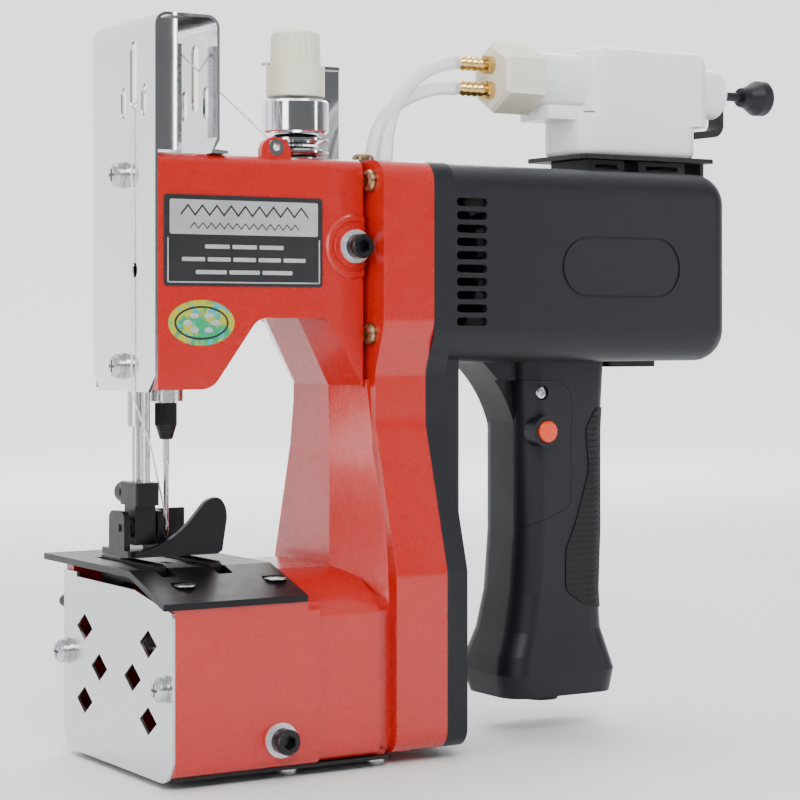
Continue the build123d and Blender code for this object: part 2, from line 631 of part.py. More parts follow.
with BuildPart() as motor_housing:
    slab(MOTOR_SEAM, MOTOR_REAR, BARREL_HALF, BARREL_LOW, HEAD_TOP, BARREL_R)
    fillet(motor_housing.faces().sort_by(Axis.X)[-1].edges(), 12)
    add(handle_body.part)
    # web between the barrel and the front of the handle
    with BuildSketch(Plane.XZ.offset(-12)):
        with BuildLine():
            web_edge = ThreePointArc((140.5, 163.0), (154.0, 150.0), (162.6, 132.0))
            Polyline(web_edge @ 1, (172.0, 132.0), (172.0, 163.0), web_edge @ 0)
        make_face()
    extrude(amount=24)
    slab(MOTOR_SEAM, MOTOR_REAR - SHELL, BARREL_HALF - SHELL, BARREL_LOW + SHELL, HEAD_TOP - SHELL,
         BARREL_R - SHELL, mode=Mode.SUBTRACT)
    add(handle_core.part, mode=Mode.SUBTRACT)
    block((160, 204), (-13, 13), (16, 20), corner=6)
    # rear bearing seat, brush holder seats and the cord hole in the handle's foot
    rod((MOTOR_REAR - SHELL + 0.5, 0, MAIN_Z), (-1, 0, 0), 14.0, 14)
    rod((MOTOR_REAR - SHELL, 0, MAIN_Z), (-1, 0, 0), 11.0, 20, mode=Mode.SUBTRACT)
    rod((182, 0, 10), (0, 0, 1), 5.5, 20, mode=Mode.SUBTRACT)
    # oval panel pressed into both sides of the barrel
    for side in (-1, 1):
        with BuildSketch(Plane.XZ.offset(side * BARREL_HALF)):
            with Locations((196.5, 201.4)):
                SlotOverall(63, 26)
                SlotOverall(61, 24, mode=Mode.SUBTRACT)
        extrude(amount=-side * 0.6, mode=Mode.SUBTRACT)
    # opening for the side cover, seat of the rubber grip
    add(side_region(COVER_OUTLINE, COVER_RADII, -30, -9, 0.15), mode=Mode.SUBTRACT)
    with BuildPart(mode=Mode.PRIVATE) as grip_pocket:
        handle(2.0)
        add(grip_seat.part, mode=Mode.SUBTRACT)
        add(side_region(GRIP_OUTLINE, GRIP_RADII, -30, 30, 0.05), mode=Mode.INTERSECT)
    add(grip_pocket.part, mode=Mode.SUBTRACT)
save(motor_housing.part, "motor_housing")

with BuildPart() as handle_side_cover:
    add(handle_body.part)
    add(handle_core.part, mode=Mode.SUBTRACT)
    add(side_region(COVER_OUTLINE, COVER_RADII, -30, -9.1), mode=Mode.INTERSECT)
    rod((BUTTON[0], -16, BUTTON[1]), (0, -1, 0), 6.8, 7.8)
    rod((BUTTON[0], -10, BUTTON[1]), (0, -1, 0), 4.9, 20, mode=Mode.SUBTRACT)
    rod((COVER_SCREW[0], -16.8, COVER_SCREW[1]), (0, -1, 0), 3.2, 8, mode=Mode.SUBTRACT)
    rod((COVER_SCREW[0], -10, COVER_SCREW[1]), (0, -1, 0), 1.55, 8, mode=Mode.SUBTRACT)
save(handle_side_cover.part, "handle_side_cover")

with BuildPart() as side_cover_screw:
    pan_screw((COVER_SCREW[0], -16.8, COVER_SCREW[1]), (0, -1, 0), 2.8, 1.6, 1.45, 6.0)
save(side_cover_screw.part, "side_cover_screw")

with BuildPart() as handle_grip:
    add(grip_skin.part)
    add(grip_seat.part, mode=Mode.SUBTRACT)
    add(side_region(GRIP_OUTLINE, GRIP_RADII, -30, 30), mode=Mode.INTERSECT)
save(handle_grip.part, "handle_grip")

# ==== push button and the switch behind it
with BuildPart() as push_button:
    turned(
        (BUTTON[0], -14.0, BUTTON[1]),
        (0, -1, 0),
        ((0, 0), (4.6, 0), (4.6, 10.8), (3.8, 11.6), (0, 11.6)),
    )
save(push_button.part, "push_button")

with BuildPart() as power_switch:
    block((166, 182), (-9.5, 8), (110, 142))
    rod((BUTTON[0], -9.0, BUTTON[1]), (0, -1, 0), 2.0, 2.4)
    for z in (114, 126, 138):
        block((172, 176), (8, 12), (z - 0.4, z + 0.4))
save(power_switch.part, "power_switch")

with BuildPart() as cord_bush:
    rod((182, 0, 14.5), (0, 0, 1), 5.4, 12, bore=3.5)
    rod((182, 0, 12.4), (0, 0, 1), 8.0, 3.3, bore=3.5)
save(cord_bush.part, "cord_bush")

# ==== flat clip under the motor's rear
with BuildPart() as underside_clip:
    block((209.5, 236.0), (-14, 14), (BARREL_LOW - 2.7, BARREL_LOW), corner=2)
save(underside_clip.part, "underside_clip")

# ==== motor
with BuildPart() as motor_stator:
    rod((158, 0, MAIN_Z), (1, 0, 0), 37.5, 46, bore=22.0)
    for x in (151, 204):
        rod((x, 0, MAIN_Z), (1, 0, 0), 32.0, 7, bore=23.0)
save(motor_stator.part, "motor_stator")

with BuildPart() as motor_armature:
    rod((91.5, 0, MAIN_Z), (1, 0, 0), 4.0, 160)
    rod((158, 0, MAIN_Z), (1, 0, 0), 21.2, 46)
    rod((150, 0, MAIN_Z), (1, 0, 0), 16.0, 8)
    rod((204, 0, MAIN_Z), (1, 0, 0), 16.0, 7)
    rod((214, 0, MAIN_Z), (1, 0, 0), 11.0, 13)
    rod((BELT_X[0], 0, MAIN_Z), (1, 0, 0), PINION_R, 7)
save(motor_armature.part, "motor_armature")

with BuildPart() as brush_holders:
    for side in (-1, 1):
        block((217, 224), sorted((side * 11.3, side * 37.5)), (MAIN_Z - 4, MAIN_Z + 4))
save(brush_holders.part, "brush_holders")

with BuildPart() as motor_bearings:
    rod((BEARING_X[0], 0, MAIN_Z), (1, 0, 0), 10.9, 7, bore=4.05)
    rod((243.0, 0, MAIN_Z), (1, 0, 0), 10.9, 7, bore=4.05)
save(motor_bearings.part, "motor_bearings")

with BuildPart() as cooling_fan:
    rod((113.5, 0, MAIN_Z), (1, 0, 0), 8.0, 14, bore=4.0)
    rod((125.5, 0, MAIN_Z), (1, 0, 0), 34.0, 2, bore=4.0)
    for blade in range(12):
        angle = radians(blade * 30)
        with BuildSketch(Plane.YZ.offset(114.0)):
            with Locations(Location((20.5 * cos(angle), MAIN_Z + 20.5 * sin(angle)), blade * 30.0 + 20)):
                Rectangle(24, 1.4)
        extrude(amount=11.6)
save(cooling_fan.part, "cooling_fan")

# ==== belts and pulleys
with BuildPart() as lower_pulleys:
    rod((BELT_X[0], 0, LOWER_Z), (1, 0, 0), WHEEL_R, 7, bore=SHAFT_R)
    with BuildSketch(Plane.YZ.offset(BELT_X[0])):
        with Locations((0, LOWER_Z)):
            Circle(WHEEL_R - 4)
            Circle(12, mode=Mode.SUBTRACT)
    extrude(amount=2, mode=Mode.SUBTRACT)
    rod((SYNC_X[0], 0, LOWER_Z), (1, 0, 0), SYNC_R, 7, bore=SHAFT_R)
save(lower_pulleys.part, "lower_pulleys")

with BuildPart() as upper_pulley:
    rod((SYNC_X[0], 0, MAIN_Z), (1, 0, 0), SYNC_R, 7, bore=SHAFT_R)
save(upper_pulley.part, "upper_pulley")


def belt(x, radius_low, radius_high):
    """A belt loop round a lower and an upper pulley, a hair clear of both."""
    gap = 0.15
    span = MAIN_Z - LOWER_Z
    for grow, mode in ((gap + BELT_T, Mode.ADD), (gap, Mode.SUBTRACT)):
        low = radius_low + grow
        high = radius_high + grow
        lean = atan2(low - high, sqrt(span**2 - (low - high) ** 2))
        with BuildSketch(Plane.YZ.offset(x[0] + 0.5)) as loop:
            with Locations((0, LOWER_Z)):
                Circle(low)
            with Locations((0, MAIN_Z)):
                Circle(high)
            with BuildLine():
                Polyline(
                    (low * cos(lean), LOWER_Z + low * sin(lean)),
                    (high * cos(lean), MAIN_Z + high * sin(lean)),
                    (-high * cos(lean), MAIN_Z + high * sin(lean)),
                    (-low * cos(lean), LOWER_Z + low * sin(lean)),
                    close=True,
                )
            make_face()
        extrude(loop.sketch, amount=x[1] - x[0] - 1, mode=mode)


with BuildPart() as motor_belt:
    belt(BELT_X, WHEEL_R, PINION_R)
save(motor_belt.part, "motor_belt")

with BuildPart() as sync_belt:
    belt(SYNC_X, SYNC_R, SYNC_R)
save(sync_belt.part, "sync_belt")

# ==== main shaft, crank, connecting rod, needle bar
with BuildPart() as shaft_bushes:
    rod((26, 0, MAIN_Z), (1, 0, 0), 7.95, 8, bore=SHAFT_R + FIT)
    rod((63, 0, MAIN_Z), (1, 0, 0), 7.95, 18, bore=SHAFT_R + FIT)
    rod((20, 0, LOWER_Z), (1, 0, 0), 7.95, 9, bore=SHAFT_R + FIT)
    rod((73, 0, LOWER_Z), (1, 0, 0), 7.95, 8, bore=SHAFT_R + FIT)
save(shaft_bushes.part, "shaft_bushes")

with BuildPart() as main_shaft:
    rod((20, 0, MAIN_Z), (1, 0, 0), SHAFT_R, 70.5)
    rod((16, 0, MAIN_Z), (1, 0, 0), 17.0, 6)
    rod((16.5, 0, MAIN_Z + CRANK_R), (-1, 0, 0), 3.5, 7.9)
    rod((21, 0, MAIN_Z), (1, 0, 0), 9.0, 4.7)
save(main_shaft.part, "main_shaft")

ROD_LENGTH = 24.0
CLAMP_Z = MAIN_Z + CRANK_R - ROD_LENGTH
with BuildPart() as connecting_rod:
    with BuildSketch(Plane.YZ.offset(5.2)):
        with Locations((0, MAIN_Z + CRANK_R)):
            Circle(7.0)
        with Locations((0, CLAMP_Z)):
            Circle(5.0)
        with Locations((0, CLAMP_Z + ROD_LENGTH / 2)):
            Rectangle(6, ROD_LENGTH)
        with Locations((0, MAIN_Z + CRANK_R)):
            Circle(3.8, mode=Mode.SUBTRACT)
        with Locations((0, CLAMP_Z)):
            Circle(2.05, mode=Mode.SUBTRACT)
    extrude(amount=3.0)
save(connecting_rod.part, "connecting_rod")

with BuildPart() as needle_bar:
    rod((0, 0, 134.0), (0, 0, 1), NEEDLE_BAR_R, 101.5)
    # clamp with the connecting rod's pin
    block((-5.5, 5.0), (-6, 6), (CLAMP_Z - 4, CLAMP_Z + 4), corner=1.5)
    rod((4, 0, CLAMP_Z), (1, 0, 0), 2.0, 4.6)
    # take-up arm that rises through the head into the guard, with the thread's eye
    block((-1.2, 1.2), (-11.8, 0), (228, 234))
    block((-1.2, 1.2), (-11.8, -7.0), (228, 288))
    rod((-5, -9.4, 284.5), (1, 0, 0), 1.0, 10, mode=Mode.SUBTRACT)
save(needle_bar.part, "needle_bar")

with BuildPart() as head_bushes:
    rod((0, 0, HEAD_FLOOR - 5.2), (0, 0, 1), 6.9, 5.2, bore=NEEDLE_BAR_R + FIT)
    rod((0, 0, HEAD_FLOOR), (0, 0, 1), 5.95, 4.2, bore=NEEDLE_BAR_R + FIT)
    rod((PRESSER_X, 0, 136.4), (0, 0, 1), 4.0, 19.0, bore=PRESSER_R + FIT)
    rod((PRESSER_X, 0, 222.0), (0, 0, 1), 4.2, 9.2, bore=PRESSER_R + 0.3)
save(head_bushes.part, "head_bushes")

with BuildPart() as needle_chuck:
    with BuildSketch(Plane.XY.offset(136.5)):
        RegularPolygon(4.3 / cos(pi / 6), 6)
    extrude(amount=9.0)
    turned((0, 0, 131.0), (0, 0, 1), ((0, 0), (2.6, 0), (4.25, 5.5), (0, 5.5)))
    rod((0, 0, 134.0), (0, 0, 1), NEEDLE_BAR_R, 20, mode=Mode.SUBTRACT)
    rod((0, 0, 130.0), (0, 0, 1), 1.35, 20, mode=Mode.SUBTRACT)
save(needle_chuck.part, "needle_chuck")

NEEDLE_EYE = 96.5
with BuildPart() as needle:
    turned(
        (0, 0, 90.4),
        (0, 0, 1),
        ((0, 0), (0.25, 0.6), (1.05, 4.5), (1.05, 30), (1.3, 32), (1.3, 43.5), (0, 43.5)),
    )
    rod((0, -3, NEEDLE_EYE), (0, 1, 0), 0.5, 6, mode=Mode.SUBTRACT)
save(needle.part, "needle")

# ==== presser bar, shank and foot
with BuildPart() as presser_bar:
    rod((PRESSER_X, 0, 108.0), (0, 0, 1), PRESSER_R, 116)
    rod((PRESSER_X, GUIDE_Y, 108.0), (0, 0, 1), 1.7, 62)
    block((PRESSER_X - 2.4, PRESSER_X + 3.6), (GUIDE_Y - 2.5, 4), (168, 172))
save(presser_bar.part, "presser_bar")

with BuildPart() as presser_spring:
    spring_path = Helix(pitch=4.8, height=48.0, radius=3.0, center=(PRESSER_X, 0, 173.0))
    with BuildSketch(Plane(origin=spring_path @ 0, z_dir=spring_path % 0)):
        Circle(0.55)
    sweep(path=spring_path, is_frenet=True)
save(presser_spring.part, "presser_spring")

with BuildPart() as presser_shank:
    block((-17.6, -7.6), (-10.2, 6.0), (105.4, 114.4), corner=1.2)
    block((-16.8, -8.0), (-7.0, 3.0), (89.8, 105.4))
    rod((-17.6, HINGE_Y + 1, HINGE_Z), (1, 0, 0), 4.0, 10)
    rod((PRESSER_X, 0, 108.0), (0, 0, 1), PRESSER_R, 20, mode=Mode.SUBTRACT)
    rod((PRESSER_X, GUIDE_Y, 108.0), (0, 0, 1), 1.7, 20, mode=Mode.SUBTRACT)
    rod((-30, HINGE_Y, HINGE_Z), (1, 0, 0), 1.55, 40, mode=Mode.SUBTRACT)
    # clamp screw
    rod((PRESSER_X - 1.0, 5.5, 110.0), (0, 1, 0), 4.3, 5.0)
    rod((PRESSER_X - 1.0, 9.0, 110.0), (0, 1, 0), 2.2, 3, mode=Mode.SUBTRACT)
save(presser_shank.part, "presser_shank")

TOE_Y = -12.4
with BuildPart() as presser_foot:
    block((-22.0, 17.0), (TOE_Y, 14.0), (FOOT_LOW, FOOT_LOW + 2.6), corner=1.2)
    # upswept toe along the near edge
    with BuildSketch(Plane.XZ.offset(-TOE_Y)):
        with BuildLine():
            toe_line = Spline(
                (-20.0, FOOT_LOW + 2.2),
                (-9.0, FOOT_LOW + 5.2),
                (0.5, FOOT_LOW + 11.0),
                (8.5, FOOT_LOW + 19.4),
                (14.2, FOOT_LOW + 22.6),
                tangents=((1, 0.1), (1, 0.15)),
            )
            toe_top = Spline(toe_line @ 1, (18.6, FOOT_LOW + 19.6), (19.6, FOOT_LOW + 14.0),
                             tangents=((1, 0.15), (0, -1)))
            Polyline(toe_top @ 1, (17.6, FOOT_LOW + 1.5), (15.5, FOOT_LOW + 0.2), (-20.0, FOOT_LOW + 0.2),
                     toe_line @ 0)
        make_face()
    extrude(amount=2.6)
    # ears for the hinge pin and the guard wall behind the needle
    for x in (-22.0, -7.2):
        with BuildSketch(Plane.YZ.offset(x)):
            with BuildLine():
                FilletPolyline(
                    (-8.0, FOOT_LOW + 1),
                    (6.5, FOOT_LOW + 1),
                    (6.5, 103.2),
                    (-8.0, 103.2),
                    radius=(0, 0, 3.5, 3.5),
                    close=True,
                )
            make_face()
        extrude(amount=2.6 if x < -10 else 2.4)
    block((-3.0, 14.0), (11.4, 14.0), (FOOT_LOW + 1, FOOT_LOW + 17), corner=0.8)
    block((-3.4, 9.0), (-9.0, 9.0), (FOOT_LOW + 2.0, FOOT_LOW + 3.4), corner=0.8)
    block((-3.2, 3.2), (-4.5, 4.5), (FOOT_LOW - 1, FOOT_LOW + 4), mode=Mode.SUBTRACT, corner=2)
    # hinge pin, held in both ears
    rod((-22.6, HINGE_Y, HINGE_Z), (1, 0, 0), 1.5, 18.4)
save(presser_foot.part, "presser_foot")

# ==== lower shaft, feed and looper
with BuildPart() as lower_shaft:
    rod((11.0, 0, LOWER_Z), (1, 0, 0), SHAFT_R, 88.0)
    # feed eccentric
    rod((11.0, 2.0, LOWER_Z), (1, 0, 0), 9.0, 7.0)
save(lower_shaft.part, "lower_shaft")

DOG_Y = (-20.0, 30.0)
DOG_FOOT_Y = 9.0  # the bars are deep only behind this line, clear of the looper in front of it
with BuildPart() as feed_dog:
    for side in (-1, 1):
        block((side * DOG_X - 2.4, side * DOG_X + 2.4), DOG_Y, (74.0, 82.4))
        block((side * DOG_X - 2.4, side * DOG_X + 2.4), (DOG_FOOT_Y, DOG_Y[1]), (66.5, 74.0))
        for tooth in range(20):
            tooth_y = DOG_Y[0] + 0.4 + tooth * 2.5
            with BuildSketch(Plane.YZ.offset(side * DOG_X - 2.4)):
                with BuildLine():
                    Polyline((tooth_y, 82.2), (tooth_y + 2.2, 82.2), (tooth_y + 1.9, 83.2), close=True)
                make_face()
            extrude(amount=4.8)
    block((-14.6, 14.6), (DOG_FOOT_Y, 26.0), (61.0, 66.6))
save(feed_dog.part, "feed_dog")

with BuildPart() as looper:
    rod((-6.0, -40.0, 50.0), (0, 1, 0), 4.0, 80)
    rod((-6.0, -4.0, 50.0), (0, 1, 0), 7.0, 7.0)
    with BuildSketch(Plane.XZ.offset(-0.8)):
        with BuildLine():
            Polyline(
                (-9.5, 54.0), (-8.9, 69.5), (-1.9, 70.6), (-1.9, 69.9), (-6.4, 66.6), (-5.6, 56.0), close=True
            )
        make_face()
    extrude(amount=2.4)
save(looper.part, "looper")

# ==== thread lug, tension and thread bracket on top of the head
with BuildPart() as lug_eyelet:
    rod((35.3, -27.6, 247.4), (0, 1, 0), 2.55, 4.2, bore=1.5)
    rod((35.3, -27.6, 247.4), (0, 1, 0), 3.3, 0.6, bore=1.5)
save(lug_eyelet.part, "lug_eyelet")

with BuildPart() as tension_post:
    rod((TENSION_X, TENSION_Y, HEAD_TOP - 4), (0, 0, 1), 3.0, 50)
    rod((TENSION_X, TENSION_Y, HEAD_TOP), (0, 0, 1), 10.0, 0.9)
save(tension_post.part, "tension_post")

with BuildPart() as tension_discs:
    for low in (244.8, 249.9):
        turned(
            (TENSION_X, TENSION_Y, low),
            (0, 0, 1),
            ((3.1, 0), (9.0, 0), (13.5, 1.6), (13.5, 2.4), (9.0, 4.2), (3.1, 4.2)),
        )
    turned(
        (TENSION_X, TENSION_Y, 254.4),
        (0, 0, 1),
        ((3.1, 0), (12.6, 0), (13.6, 1.0), (13.6, 12.7), (12.8, 13.5), (12.4, 13.5), (12.4, 1.2), (3.1, 1.2)),
    )
    coil_path = Helix(pitch=2.6, height=11.7, radius=5.2, center=(TENSION_X, TENSION_Y, 256.5))
    with BuildSketch(Plane(origin=coil_path @ 0, z_dir=coil_path % 0)):
        Circle(0.7)
    sweep(path=coil_path, is_frenet=True)
save(tension_discs.part, "tension_discs")

with BuildPart() as tension_knob:
    turned(
        (TENSION_X, TENSION_Y, 269.4),
        (0, 0, 1),
        ((0, 0), (11.6, 0), (12.0, 0.6), (12.0, 12.6), (10.4, 13.0), (10.0, 25.5), (8.8, 26.8), (0, 27.0)),
    )
    for flute in range(24):
        angle = 2 * pi * flute / 24
        rod((TENSION_X + 10.5 * cos(angle), TENSION_Y + 10.5 * sin(angle), 284.0), (0, 0, 1), 0.8, 16,
            mode=Mode.SUBTRACT)
    rod((TENSION_X, TENSION_Y, 260.0), (0, 0, 1), 3.05, 31.0, mode=Mode.SUBTRACT)
save(tension_knob.part, "tension_knob")

with BuildPart() as thread_bracket:
    block((80.5, 91.0), (-14.5, 16.5), (HEAD_TOP, HEAD_TOP + 1.4), corner=1.5)
    block((78.4, 88.4), (15.0, 16.5), (HEAD_TOP, 286.0))
    block((51.0, 88.4), (12.5, 16.5), (284.6, 286.0), corner=1.2)
    rod((BRACKET_SCREW[0], BRACKET_SCREW[1], HEAD_TOP - 1), (0, 0, 1), 2.1, 4, mode=Mode.SUBTRACT)
    for x, y in HOSE_ENTRIES:
        rod((x, y, HEAD_TOP - 1), (0, 0, 1), 5.8, 4, mode=Mode.SUBTRACT)
save(thread_bracket.part, "thread_bracket")

# ==== label plate and sticker on the head
with BuildPart() as head_label:
    with BuildSketch(Plane.XZ.offset(HEAD_HALF)):
        with Locations((20.2, 209.5)):
            RectangleRounded(70.4, 35.8, 1.5)
    extrude(amount=0.4)
    rod((UPPER_CAP[0], -40, UPPER_CAP[2]), (0, 1, 0), 15.7, 20, mode=Mode.SUBTRACT)
    with BuildSketch(Plane.XZ.offset(HEAD_HALF)):
        with Locations((1.3, 177.4)):
            Ellipse(14.5, 9.0)
    extrude(amount=0.15)
save(head_label.part, "head_label")

# ==== threads
with BuildPart() as upper_threads:
    with BuildLine() as upper_route:
        Polyline(
            (TENSION_X - 11.5, TENSION_Y - 9.0, 249.4),
            (35.3, -23.4, 247.4),
            (35.3, -29.6, 247.6),
            (6.0, -9.4, 284.6),
        )
    with BuildSketch(Plane(origin=upper_route.line @ 0, z_dir=upper_route.line % 0)):
        Circle(0.35)
    sweep(path=upper_route.line, transition=Transition.RIGHT)
    rod((-19.5, -9.5, 150.0), (0, 0, 1), 0.4, 112.0)
save(upper_threads.part, "upper_threads")

with BuildPart() as needle_thread:
    with BuildLine() as lower_route:
        Polyline((-19.5, -9.5, 149.4), (-12.5, -13.0, 130.0), (-0.6, -1.9, NEEDLE_EYE))
    with BuildSketch(Plane(origin=lower_route.line @ 0, z_dir=lower_route.line % 0)):
        Circle(0.4)
    sweep(path=lower_route.line, transition=Transition.RIGHT)
save(needle_thread.part, "needle_thread")

# ==== oiler: bracket, bottle, pump and hoses
with BuildPart() as oiler_bracket:
    block((190.0, 263.0), (-22.0, 22.0), (249.5, 251.5), corner=2)
    block((261.0, 263.0), (-14.0, 14.0), (229.0, 251.0))
    block((MOTOR_REAR + 0.05, 262.0), (-14.0, 14.0), (229.0, 231.0))
    block((198.0, 218.0), (-14.0, 14.0), (HEAD_TOP + 0.2, 249.5))
    block((202.0, 214.0), (-22.0, 22.0), (HEAD_TOP + 2, 247.7), mode=Mode.SUBTRACT)
    block((226.0, 252.0), (-14.0, 14.0), (HEAD_TOP + 0.2, 249.5))
    block((230.0, 248.0), (-22.0, 22.0), (HEAD_TOP + 2, 247.7), mode=Mode.SUBTRACT)
    # strap up to the pump's cap
    with BuildSketch(Plane.XZ.offset(-4.0)):
        with BuildLine():
            FilletPolyline(
                (266.2, 262.0),
                (282.9, 264.0),
                (282.9, 281.0),
                (280.3, 281.0),
                (280.3, 267.0),
                (266.2, 265.4),
                radius=(0, 6.0, 0, 0, 3.4, 0),
                close=True,
            )
        make_face()
    extrude(amount=8)
save(oiler_bracket.part, "oiler_bracket")

with BuildPart() as oil_bottle:
    block((193.0, 259.0), (-17, 17), (251.5, 270.0), corner=8)
    block((200.0, 266.0), (-17, 17), (266.5, 300.0), corner=8)
    fillet(oil_bottle.edges().group_by(Axis.Z)[-1], 6)
    fillet(oil_bottle.edges().group_by(Axis.Z)[0], 3)
    rod((176.5, 0, OIL_Z), (1, 0, 0), 12.4, 40)
    rod((250, 0, OIL_Z - 1.5), (1, 0, 0), 11.3, 29)
    block((179.0, 202.0), (-12, 12), (267.0, 273.0), corner=2)
    # hollow inside, open at the neck
    block((196.0, 256.0), (-14, 14), (254.5, 271.0), mode=Mode.SUBTRACT, corner=6)
    block((203.0, 263.0), (-14, 14), (265.0, 297.0), mode=Mode.SUBTRACT, corner=6)
    rod((170.0, 0, OIL_Z), (1, 0, 0), 10.0, 50, mode=Mode.SUBTRACT)
    rod((250.0, 0, OIL_Z - 1.5), (1, 0, 0), 9.2, 27, mode=Mode.SUBTRACT)
    rod((276.0, 0, OIL_Z - 1.5), (1, 0, 0), 2.35, 10, mode=Mode.SUBTRACT)
save(oil_bottle.part, "oil_bottle")

BARB_Z = (278.9, 289.9)
with BuildPart() as bottle_nut:
    with BuildSketch(Plane.YZ.offset(156.0)):
        with Locations((0, OIL_Z)):
            RegularPolygon(13.5 / cos(pi / 6), 6, rotation=30)
    extrude(amount=20.0)
    chamfer(bottle_nut.faces().sort_by(Axis.X)[0].edges(), 1.6)
    rod((168.0, 0, OIL_Z), (1, 0, 0), 11.5, 20, mode=Mode.SUBTRACT)
    for z in BARB_Z:
        rod((150.0, 0, z), (1, 0, 0), 2.55, 30, mode=Mode.SUBTRACT)
save(bottle_nut.part, "bottle_nut")

with BuildPart() as hose_barbs:
    for z in BARB_Z:
        rod((152.5, 0, z), (1, 0, 0), 4.0, 3.5)
        rod((149.5, 0, z), (1, 0, 0), 2.5, 21)
        for ridge in range(4):
            turned((139.0 + ridge * 2.9, 0, z), (1, 0, 0), ((0, 0), (2.1, 0), (3.3, 2.3), (3.3, 2.9), (0, 2.9)))
        rod((135.0, 0, z), (1, 0, 0), 1.2, 45, mode=Mode.SUBTRACT)
save(hose_barbs.part, "hose_barbs")

# hose routes: the upper barb's hose comes down on the near side, the lower barb's passes behind it
HOSE_OD = 6.0
HOSE_NEAR = (
    (138.6, 0.0, BARB_Z[1]),
    (129.4, -1.0, 288.6),
    (116.0, -4.0, 282.6),
    (106.0, -8.0, 274.5),
    (98.5, -11.0, 264.5),
    (95.3, -12.8, 254.6),
    (94.7, -13.0, 244.4),
)
HOSE_FAR = (
    (138.6, 0.0, BARB_Z[0]),
    (129.9, 0.0, 278.6),
    (119.6, 0.5, 276.2),
    (110.4, 1.0, 271.9),
    (102.8, 1.2, 265.2),
    (97.6, 1.1, 256.0),
    (95.7, 1.0, 244.4),
)


def hose(points, name):
    """A hose along straight runs joined by tangent arcs, each as large as its runs allow."""
    radii = []
    for before, corner, after in zip(points[:-2], points[1:-1], points[2:]):
        run_in = Vector(*corner) - Vector(*before)
        run_out = Vector(*after) - Vector(*corner)
        turn = radians(run_in.get_angle(run_out))
        radii.append(0.45 * min(run_in.length, run_out.length) / tan(turn / 2))
    print(name, "arc radii", [round(r, 1) for r in radii])
    with BuildPart() as tube:
        with BuildLine() as route:
            FilletPolyline(*points, radius=radii)
        with BuildSketch(Plane(origin=route.line @ 0, z_dir=route.line % 0)):
            Circle(HOSE_OD / 2)
        sweep(path=route.line)
    length = sum(edge.length for edge in route.edges())
    print(name, "length", round(length, 1), "volume", round(tube.part.volume, 1),
          "section x length", round(pi * HOSE_OD**2 / 4 * length, 1))
    save(tube.part, name)


hose(HOSE_NEAR, "oil_hose_near")
hose(HOSE_FAR, "oil_hose_far")

with BuildPart() as hose_grommets:
    for x, y in HOSE_ENTRIES:
        rod((x, y, HEAD_TOP - 5), (0, 0, 1), 4.25, 4.6, bore=2.4)
        rod((x, y, HEAD_TOP - 0.4), (0, 0, 1), 4.25, 0.4, bore=3.5)
        rod((x, y, HEAD_TOP), (0, 0, 1), 5.4, 1.3, bore=3.5)
save(hose_grommets.part, "hose_grommets")

with BuildPart() as pump_plunger:
    rod((262.0, 0, OIL_Z - 1.5), (1, 0, 0), 2.1, 36)
    rod((260.0, 0, OIL_Z - 1.5), (1, 0, 0), 8.9, 4)
    turned(
        (296.0, 0, OIL_Z - 1.5),
        (1, 0, 0),
        ((0, 0), (4.4, 0), (5.2, 3.5), (8.2, 9.0), (8.2, 13.6), (7.4, 14.6), (0, 14.6)),
    )
save(pump_plunger.part, "pump_plunger")
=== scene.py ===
from math import cos, pi, radians, sin

import bmesh
import bpy
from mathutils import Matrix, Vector


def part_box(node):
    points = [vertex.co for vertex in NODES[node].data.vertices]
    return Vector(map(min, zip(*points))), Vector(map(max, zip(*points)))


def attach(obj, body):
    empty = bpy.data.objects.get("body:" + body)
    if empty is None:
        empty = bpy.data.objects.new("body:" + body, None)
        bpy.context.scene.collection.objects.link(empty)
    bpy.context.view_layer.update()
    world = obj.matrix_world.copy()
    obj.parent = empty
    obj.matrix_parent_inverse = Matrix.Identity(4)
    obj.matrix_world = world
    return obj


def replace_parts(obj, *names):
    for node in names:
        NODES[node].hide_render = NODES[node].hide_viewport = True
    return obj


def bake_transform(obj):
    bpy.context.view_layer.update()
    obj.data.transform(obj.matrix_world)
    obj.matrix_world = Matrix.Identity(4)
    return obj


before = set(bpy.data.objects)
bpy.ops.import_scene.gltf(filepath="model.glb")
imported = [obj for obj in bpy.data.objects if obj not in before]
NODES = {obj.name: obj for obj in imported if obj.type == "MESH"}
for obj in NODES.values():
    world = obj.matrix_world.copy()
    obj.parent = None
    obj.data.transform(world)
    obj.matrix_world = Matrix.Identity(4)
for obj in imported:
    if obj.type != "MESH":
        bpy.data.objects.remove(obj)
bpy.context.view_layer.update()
MM = 0.001

# ---- places: the needle's axis and the ground are the zero of at(), in millimetres
needle_low, needle_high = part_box("needle")
NEEDLE_AXIS = (needle_low + needle_high) / 2


def at(x, y, z):
    """A point in the row frame, from millimetres off the needle's axis and above the ground."""
    return Vector((NEEDLE_AXIS.x + x * MM, NEEDLE_AXIS.y + y * MM, z * MM))


# ======================================================================== camera, floor and light
VIEW_TURN = radians(31.5)
camera_data = bpy.data.cameras.new("camera")
camera_data.lens = 103.5
camera_data.sensor_width = 36.0
camera_data.shift_y = -0.09
camera_data.clip_end = 30.0
camera = bpy.data.objects.new("camera", camera_data)
camera.location = at(-400.9, -833.3, 175.4)
camera.rotation_euler = (radians(90), 0, -VIEW_TURN)
bpy.context.scene.collection.objects.link(camera)
bpy.context.scene.camera = camera


def area_light(name, place, target, size, power):
    """A soft white rectangular light aimed at a point."""
    data = bpy.data.lights.new(name, "AREA")
    data.shape = "RECTANGLE"
    data.size, data.size_y = size
    data.energy = power
    lamp = bpy.data.objects.new(name, data)
    lamp.location = place
    lamp.rotation_euler = (Vector(target) - Vector(place)).to_track_quat("-Z", "Y").to_euler()
    bpy.context.scene.collection.objects.link(lamp)


